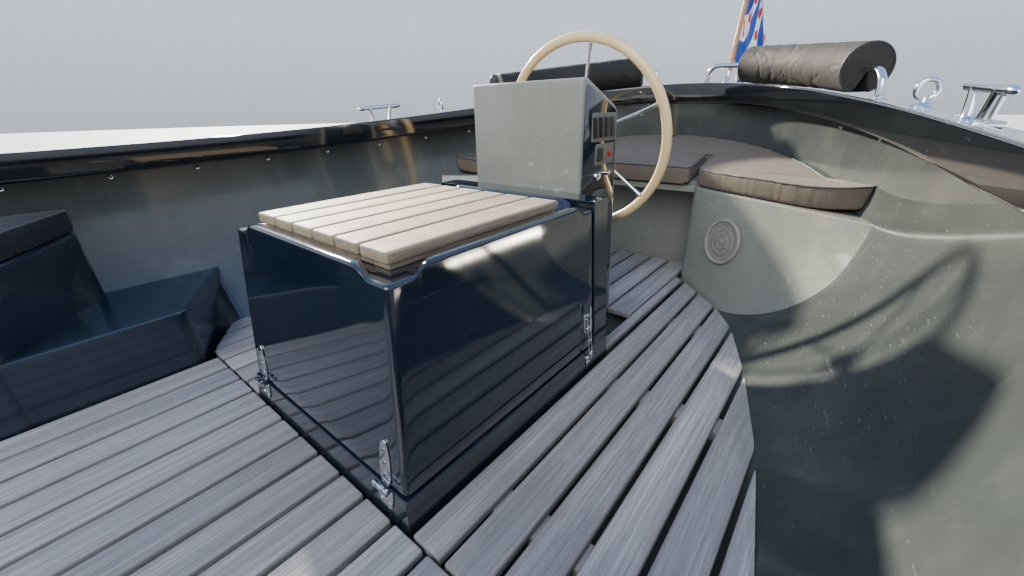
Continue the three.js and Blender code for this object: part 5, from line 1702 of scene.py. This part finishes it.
def points_of(mesh):
    """A mesh's points as an array."""
    flat = np.zeros(len(mesh.vertices) * 3)
    mesh.vertices.foreach_get("co", flat)
    return flat.reshape(-1, 3)


def put_points(mesh, points):
    """Moves a mesh's points."""
    mesh.vertices.foreach_set("co", np.asarray(points, np.float32).ravel())
    mesh.update()


def apply_modifiers(obj):
    """Gives an object the mesh that its modifiers make, without them."""
    bpy.context.view_layer.update()
    done = bpy.data.meshes.new_from_object(obj.evaluated_get(bpy.context.evaluated_depsgraph_get()))
    obj.modifiers.clear()
    obj.data = done


def draped(cushion, line, lift):
    """A closed line moved on to a cushion's surface and out from it by lift, with its corners eased."""
    tree = BVHTree.FromPolygons(points_of(cushion.data).tolist(),
        [tuple(p.vertices) for p in cushion.data.polygons])
    found = [tree.find_nearest(Vector(p)) for p in line]
    at = np.array([list(f[0]) for f in found])
    out = np.array([list(f[1]) for f in found])
    at, out = ((np.roll(v, 1, 0) + v * 2 + np.roll(v, -1, 0)) / 4 for v in (at, out))
    return at + out * lift


def rim_of(node):
    """The outlines round a CAD solid's top, in order: its edges between a face that looks up and one that
    doesn't."""
    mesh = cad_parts[node].data
    work = bmesh.new()
    work.from_mesh(mesh)
    bmesh.ops.remove_doubles(work, verts=work.verts, dist=2e-5)
    work.normal_update()
    edges = []
    for edge in work.edges:
        if len(edge.link_faces) == 2:
            a, b = (f.normal.z for f in edge.link_faces)
            if (a > 0.6) != (b > 0.6) and min(a, b) > -0.6:
                edges.append(edge)
    neighbours = {}
    for edge in edges:
        a, b = edge.verts
        neighbours.setdefault(a.index, []).append(b.index)
        neighbours.setdefault(b.index, []).append(a.index)
    where = {v.index: tuple(v.co) for v in work.verts}
    loops, seen = [], set()
    for first in neighbours:
        if first in seen:
            continue
        chain, here = [first], first
        seen.add(first)
        while True:
            ahead = [n for n in neighbours[here] if n not in seen]
            if not ahead:
                break
            here = ahead[0]
            seen.add(here)
            chain.append(here)
        if len(chain) > 3:
            loops.append(np.array([where[i] for i in chain]))
    work.free()
    return loops


def evenly(line, step):
    """A closed line again, in even steps of about the length given."""
    line = np.vstack([line, line[:1]])
    run = run_along(line)
    count = max(int(run[-1] / step), 8)
    return points_at(line, run, np.linspace(0, run[-1], count, endpoint=False))


def lifted_tips(points):
    """The aft cushion's two tips, drawn out to the liner and up it: with u the share of the way from 0.70
    to 0.855 m off the middle, a point goes out by 0.032 u^2 and up by 0.022 u^2, and stays 4 mm inside the
    liner."""
    u = np.clip((np.abs(points[:, 1]) - 0.70) / 0.155, 0, 1) * (points[:, 0] > -2.4)
    out = points.copy()
    out[:, 2] += 0.022 * u ** 2
    reach = np.abs(points[:, 1]) + 0.032 * u ** 2
    room = np.maximum(half_at(WELL, out[:, 0], out[:, 2]) - 0.004, np.abs(points[:, 1]))
    out[:, 1] = np.sign(points[:, 1]) * np.minimum(reach, room)
    return out


class LAUNCH_OT_cushions(bpy.types.Operator):
    """Fills the seat cushions by a short cloth simulation and sews piping round their edges"""

    bl_idname = "launch.cushions"
    bl_label = "Cushions"

    def execute(self, context):
        m = MATERIALS
        for node, name, finish, slot, voxel, frames in (
            ("cushion_aft", "aft_cushion", "Taupe cloth", "cushion", 0.008, 14),
            ("cushion_side_port", "side_cushion_port", "Dark cloth", "dark_cushion", 0.0105, 12),
            ("cushion_side_starboard", "side_cushion_starboard", "Dark cloth", "dark_cushion", 0.0105, 12),
            ("cushion_bow", "bow_cushion", "Dark cloth", "dark_cushion", 0.0115, 12),
        ):
            loops = [evenly(loop, 0.008) for loop in rim_of(node)]
            lows = [loop - [0, 0, 0.07] for loop in loops]
            cushion = stuffed(name, node, m[finish], loops + lows, voxel, frames)
            if node == "cushion_aft":
                put_points(cushion.data, lifted_tips(points_of(cushion.data)))
                loops = [lifted_tips(np.asarray(loop)) for loop in loops]
            piping = [tube(draped(cushion, loop, 0.0008), PIPING, 8, closed=True) for loop in loops]
            if piping:
                make(name + "_piping", piping, m["Piping"])
        return {"FINISHED"}


def rail_line(sign, count=140):
    """The rail's middle line: up from one foot, round a bend, along the gunwale and down to the other
    foot."""
    bend, rise = 2.2, RAIL["rise"]
    angles = [RAIL["from"], RAIL["from"], RAIL["from"] - 0.3, RAIL["from"] - bend]
    heights = [-0.004, rise * 0.3, rise * 0.7, rise]
    for k in range(1, 6):
        angles.append(RAIL["from"] - bend + (RAIL["to"] - RAIL["from"] + 2 * bend) * k / 6)
        heights.append(rise)
    angles += [RAIL["to"] + bend, RAIL["to"] + 0.3, RAIL["to"], RAIL["to"]]
    heights += [rise, rise * 0.7, rise * 0.3, -0.004]
    line = on_gunwale(np.array(angles), RAIL["share"], np.array(heights)) * [1, sign, 1]
    return smooth_path(line, count)


def roll_cushion(path, radius, rng):
    """A cushion rolled round a rail: circles along the path. Its folds are sharp ridges, (1 - |sin|) cubed
    of the length and the turn bent by each other, strong in patches. It is open below by a seam that widens
    into a slot at both ends, where the rail comes out, and its end faces are gently domed. Returns the body
    and the piping."""
    _, aside, rise = frames_along(path)
    count, sides = len(path), 108
    t = np.linspace(0, 2 * np.pi, sides, endpoint=False)
    run = run_along(path)
    s = run[:, None]
    fold = np.zeros((count, sides))
    for wave, bend, depth in ((0.11, 1.5, 0.0026), (0.06, -1.1, 0.0013), (0.19, 0.8, 0.0026)):
        a, b, c = rng.uniform(0, 2 * np.pi, 3)
        warp = bend * np.sin(2 * t[None] + a + 1.6 * np.sin(s * 17 + b))
        warp = warp + 0.7 * np.sin(5 * t[None] + c + s * 23)
        ridge = (1 - np.abs(np.sin(np.pi * s / wave + warp))) ** 3
        patch = np.clip(0.5 + 0.8 * np.sin(s * 9 + b + np.sin(t[None] * 2 + a) * 1.3), 0.08, 1)
        fold -= depth * ridge * patch
    end = np.minimum(run, run[-1] - run)
    corner = 0.007
    lost = corner - np.sqrt(np.clip(corner**2 - np.clip(corner - end, 0, corner) ** 2, 0, None))
    away = (t + np.pi / 2 + np.pi) % (2 * np.pi) - np.pi
    open_to = 0.05 + 0.72 * np.exp(-((end / 0.05) ** 4))
    gape = 0.06 + 0.2 * np.exp(-((end / 0.05) ** 2))
    opening = np.exp(-((away[None] / gape[:, None]) ** 4)) * open_to[:, None]
    calm = 1 - np.exp(-((end / 0.012) ** 2))
    body = (radius - lost[:, None] + fold * calm[:, None]) * (1 - opening)
    circle = np.cos(t)[None, :, None] * aside[:, None] + np.sin(t)[None, :, None] * rise[:, None]
    rows = list(path[:, None] + body[..., None] * circle)
    piping = []
    for first, second in ((0, 1), (-1, -2)):
        out = path[first] - path[second]
        out /= np.linalg.norm(out)
        face = []
        for share in (0.97, 0.9, 0.8, 0.65, 0.5, 0.35, 0.2):
            dome = 0.004 * (1 - share**2)
            face.append(path[first] + out * dome + (body[first] * share)[:, None] * circle[first])
        rows = face[::-1] + rows if first == 0 else rows + face
        arc = np.linspace(-np.pi / 2 + 0.3, 3 * np.pi / 2 - 0.3, 90)
        ring = np.cos(arc)[:, None] * aside[first] + np.sin(arc)[:, None] * rise[first]
        seam = path[first] - out * 0.002 + ring * (radius - 0.0025)
        piping.append(tube(seam, PIPING * round_ends(seam, 3), 10, up=tuple(out)))
    return skin(np.stack(rows), wrap_v=True), piping


def on_sheer(angle, share, sign):
    """A function that puts points made about the origin on the gunwale top, turned along it and tilted with
    it."""
    at = on_gunwale(np.array(angle), share, 0.0) * [1, sign, 1]
    ahead = on_gunwale(np.array(angle + 1.0), share, 0.0) * [1, sign, 1] - at
    ahead /= np.linalg.norm(ahead)
    return placed(at, ahead, np.array([0, 0, 1.0]) - ahead * ahead[2])


class LAUNCH_OT_deck_fittings(bpy.types.Operator):
    """Adds the rails and their roll cushions, the bollards, the lifting eyes, the flagstaff and the flag"""

    bl_idname = "launch.deck_fittings"
    bl_label = "Deck fittings"

    def execute(self, context):
        m = MATERIALS
        rng = np.random.default_rng(21)
        for side, sign in (("port", 1), ("starboard", -1)):
            line = rail_line(sign)
            parts = [tube(line, RAIL["radius"], 24)]
            flange = [(0.0003, 0.006), (0.012, 0.006), (0.0125, 0.0045), (0.024, 0.004), (0.026, 0.002),
                (0.026, -0.003), (0.0003, -0.003)]
            parts += [lathe(flange, 28, placed(line[end] + [0, 0, 0.006], (1, 0, 0), (0, 0, 1)))
                for end in (0, -1)]
            make(f"rail_tube_{side}", parts, m["Polished steel"],
                replaces=(f"rail_{side}",))

            angles = np.linspace(ROLL["from"], ROLL[side], 230)
            path = on_gunwale(angles, RAIL["share"], RAIL["rise"]) * [1, sign, 1]
            body, piping = roll_cushion(path, ROLL["radius"] - 0.0005, rng)
            roll = make(f"roll_cushion_{side}", [body], m["Roll cloth"],
                        replaces=(f"rail_roll_{side}",), crease=180)
            make(f"roll_cushion_{side}_piping", piping, m["Piping"])

            # Bollard: two posts leaning outwards from a base plate, and a bar across their tops
            place = on_sheer(BOLLARD["angle"], BOLLARD["share"], sign)
            reach, height = BOLLARD["length"] / 2, BOLLARD["height"]
            feet, tops = BOLLARD["feet"], BOLLARD["tops"]
            rise = np.linspace(0, 1, 20)
            parts = []
            for end in (-1, 1):
                post = np.column_stack([end * (feet + (tops - feet) * rise), 0 * rise, height * rise])
                parts.append(tube(place(post), BOLLARD["post"] + 0.006 * np.exp(-rise * 7), 24, up=(0, 1, 0)))
            bar = np.column_stack([np.linspace(-reach, reach, 50), np.zeros(50), np.full(50, height)])
            parts.append(tube(place(bar), (BOLLARD["post"] - 0.001) * round_ends(bar, 7), 24))
            plate_x, plate_y = BOLLARD["plate"]
            outline = ring_of(rectangle(-plate_x, plate_x, -plate_y, plate_y), 0.018, 6)
            parts.append(prism(outline, -0.004, 0.007, 0.003, 4, place))
            head = [(0.0003, 0.0087), (0.003, 0.0085), (0.0052, 0.0073), (0.0055, 0.005), (0.0003, 0.005)]
            parts += [lathe(head, 14, lambda g, x=x, y=y: place(g + [x, y, 0]))
                      for x in (-0.047, 0.047) for y in (-0.02, 0.02)]
            make(f"bollard_posts_{side}", parts, m["Polished steel"],
                replaces=(f"bollard_{side}",))

            # Lifting eye: a round ring standing on a turned foot
            place = on_sheer(EYE["angle"], 0.5, sign)
            a = np.linspace(0, 2 * np.pi, 56, endpoint=False)
            circle = np.column_stack([0 * a, EYE["ring"] * np.cos(a),
                EYE["middle"] + EYE["ring"] * np.sin(a)])
            foot = [(0.0003, 0.03), (0.009, 0.0285), (0.0115, 0.021), (0.016, 0.013), (0.024, 0.007),
                (0.029, 0.004), (0.03, -0.002), (0.0003, -0.002)]
            sideways = place(np.array([[1.0, 0, 0]]))[0] - place(np.zeros((1, 3)))[0]
            eye = [tube(place(circle), EYE["wire"], 18, closed=True, up=tuple(sideways)),
                lathe(foot, 36, place)]
            make(f"lifting_ring_{side}", eye, m["Polished steel"],
                replaces=(f"lifting_eye_{side}",))

        foot = on_gunwale(np.array(STAFF["angle"]), STAFF["share"], 0.0)
        along = lambda rise: foot + np.array([-STAFF["lean"] * rise / STAFF["rise"], 0, rise])
        line = np.stack([along(r) for r in np.linspace(0.002, STAFF["rise"], 40)])
        size = np.interp(np.linspace(0, 1, 40), [0, 0.06, 0.07, 0.9, 0.97, 1],
            [0.012, 0.012, 0.0128, 0.0095, 0.012, 0.004])
        staff = tube(line, size, 20, up=(0, 1, 0))
        make("flag_staff", [staff], m["Varnished wood"], replaces=("flagstaff",),
             marks={"tone": np.full(len(staff[0]), 0.5), "edge": np.zeros(len(staff[0]))})
        socket = np.stack([along(r) for r in np.linspace(0.0, 0.07, 12)])
        collar = 0.0195 * np.interp(np.linspace(0, 1, 12), [0, 0.15, 0.3, 1], [1.0, 0.98, 0.82, 0.82])
        make("staff_socket", [tube(socket, collar, 24, up=(0, 1, 0))], m["Polished steel"])

        # Flag: it hangs from the staff in folds. At each height it reaches out to the width drawn there,
        # and lies to either side of that line by a sine whose folds lean and deepen towards the free edge.
        rows, cols = 130, 120
        u, v = np.meshgrid(np.linspace(0, 1, cols), np.linspace(0, 1, rows))
        hem = np.interp(u, [0, 0.18, 0.5, 0.78, 1], [0.13, 0.026, 0.02, 0.038, 0.11])
        rise = 1.075 + (hem - 1.075) * v
        width = np.interp(rise, [0.036, 0.11, 0.2, 0.3, 0.52, 1.01, 1.08],
            [0.150, 0.188, 0.15, 0.11, 0.066, 0.057, 0.05])
        out = 0.0134 + (width - 0.0134) * u
        loose = np.clip(u * 6, 0, 1)
        fold = 0.0085 * np.sin(u * 2 * np.pi * 3.4 + v * 2.6 + 0.5 * np.sin(v * 7)) * loose
        fold += 0.0034 * np.sin(u * 31 + v * 8) * loose
        out = out + 0.004 * np.sin(u * 2 * np.pi * 3.4 + v * 2.6 + 1.9) * loose * (1 - u)
        fall = np.array([-0.6, 0.8, 0.0])
        across = np.array([0.8, 0.6, 0.0])
        lean = np.stack([-STAFF["lean"] / STAFF["rise"] * rise, 0 * rise, rise], -1)
        cloth_at = foot + lean + out[..., None] * fall + fold[..., None] * across
        points, faces = skin(cloth_at, caps=False)
        mesh = bpy.data.meshes.new("flag_cloth")
        mesh.from_pydata(points.tolist(), [], faces)
        layer = mesh.uv_layers.new(name="cloth")
        loops = np.zeros(len(mesh.loops), np.int32)
        mesh.loops.foreach_get("vertex_index", loops)
        lengths = np.stack([u * 0.32, v * 1.0], -1).reshape(-1, 2)
        layer.data.foreach_set("uv", lengths[loops].astype(np.float32).ravel())
        flag = finish_piece("flag_cloth", mesh, m["Flag cloth"], "hull", ("flag",), 180)
        thick = flag.modifiers.new("Cloth", "SOLIDIFY")
        thick.thickness, thick.offset = 0.0004, 0
        return {"FINISHED"}


class LAUNCH_OT_underwater(bpy.types.Operator):
    """Dresses the keel, the rudder, the propeller and its shaft"""

    bl_idname = "launch.underwater"
    bl_label = "Keel and propeller"

    def execute(self, context):
        m = MATERIALS
        softened("keel_fin", "keel", m["Hull gelcoat"], 0.006)
        softened("rudder_blade", "rudder", m["Hull gelcoat"], 0.005, "rudder")
        for node, finish, slot in (("propeller", "Bronze", "bronze"),
                ("propeller_shaft", "Polished steel", "stainless")):
            recoated(node, m[finish])
        return {"FINISHED"}


STAGES = (
    LAUNCH_OT_finishes,
    LAUNCH_OT_stage,
    LAUNCH_OT_hull,
    LAUNCH_OT_floor,
    LAUNCH_OT_engine_box,
    LAUNCH_OT_box_fittings,
    LAUNCH_OT_benches,
    LAUNCH_OT_console,
    LAUNCH_OT_wheel,
    LAUNCH_OT_cushions,
    LAUNCH_OT_deck_fittings,
    LAUNCH_OT_underwater,
)


class LAUNCH_PT_panel(bpy.types.Panel):
    """Lists the launch's sizes, colours and pieces"""

    bl_label = "Open Motor Launch"
    bl_idname = "LAUNCH_PT_panel"
    bl_space_type = "VIEW_3D"
    bl_region_type = "UI"
    bl_category = "Launch"

    def draw(self, context):
        for key in LaunchSettings.__annotations__:
            self.layout.prop(context.scene.launch_settings, key)
        for stage in STAGES:
            self.layout.operator(stage.bl_idname)


CLASSES = (LaunchSettings, *STAGES, LAUNCH_PT_panel)


def register():
    for cls in CLASSES:
        bpy.utils.register_class(cls)
    bpy.types.Scene.launch_settings = bpy.props.PointerProperty(type=LaunchSettings)


def unregister():
    del bpy.types.Scene.launch_settings
    for cls in reversed(CLASSES):
        bpy.utils.unregister_class(cls)


def main():
    register()
    for stage in STAGES:
        name = stage.bl_idname.split(".")[1]
        getattr(bpy.ops.launch, name)()


if __name__ == "__main__":
    main()
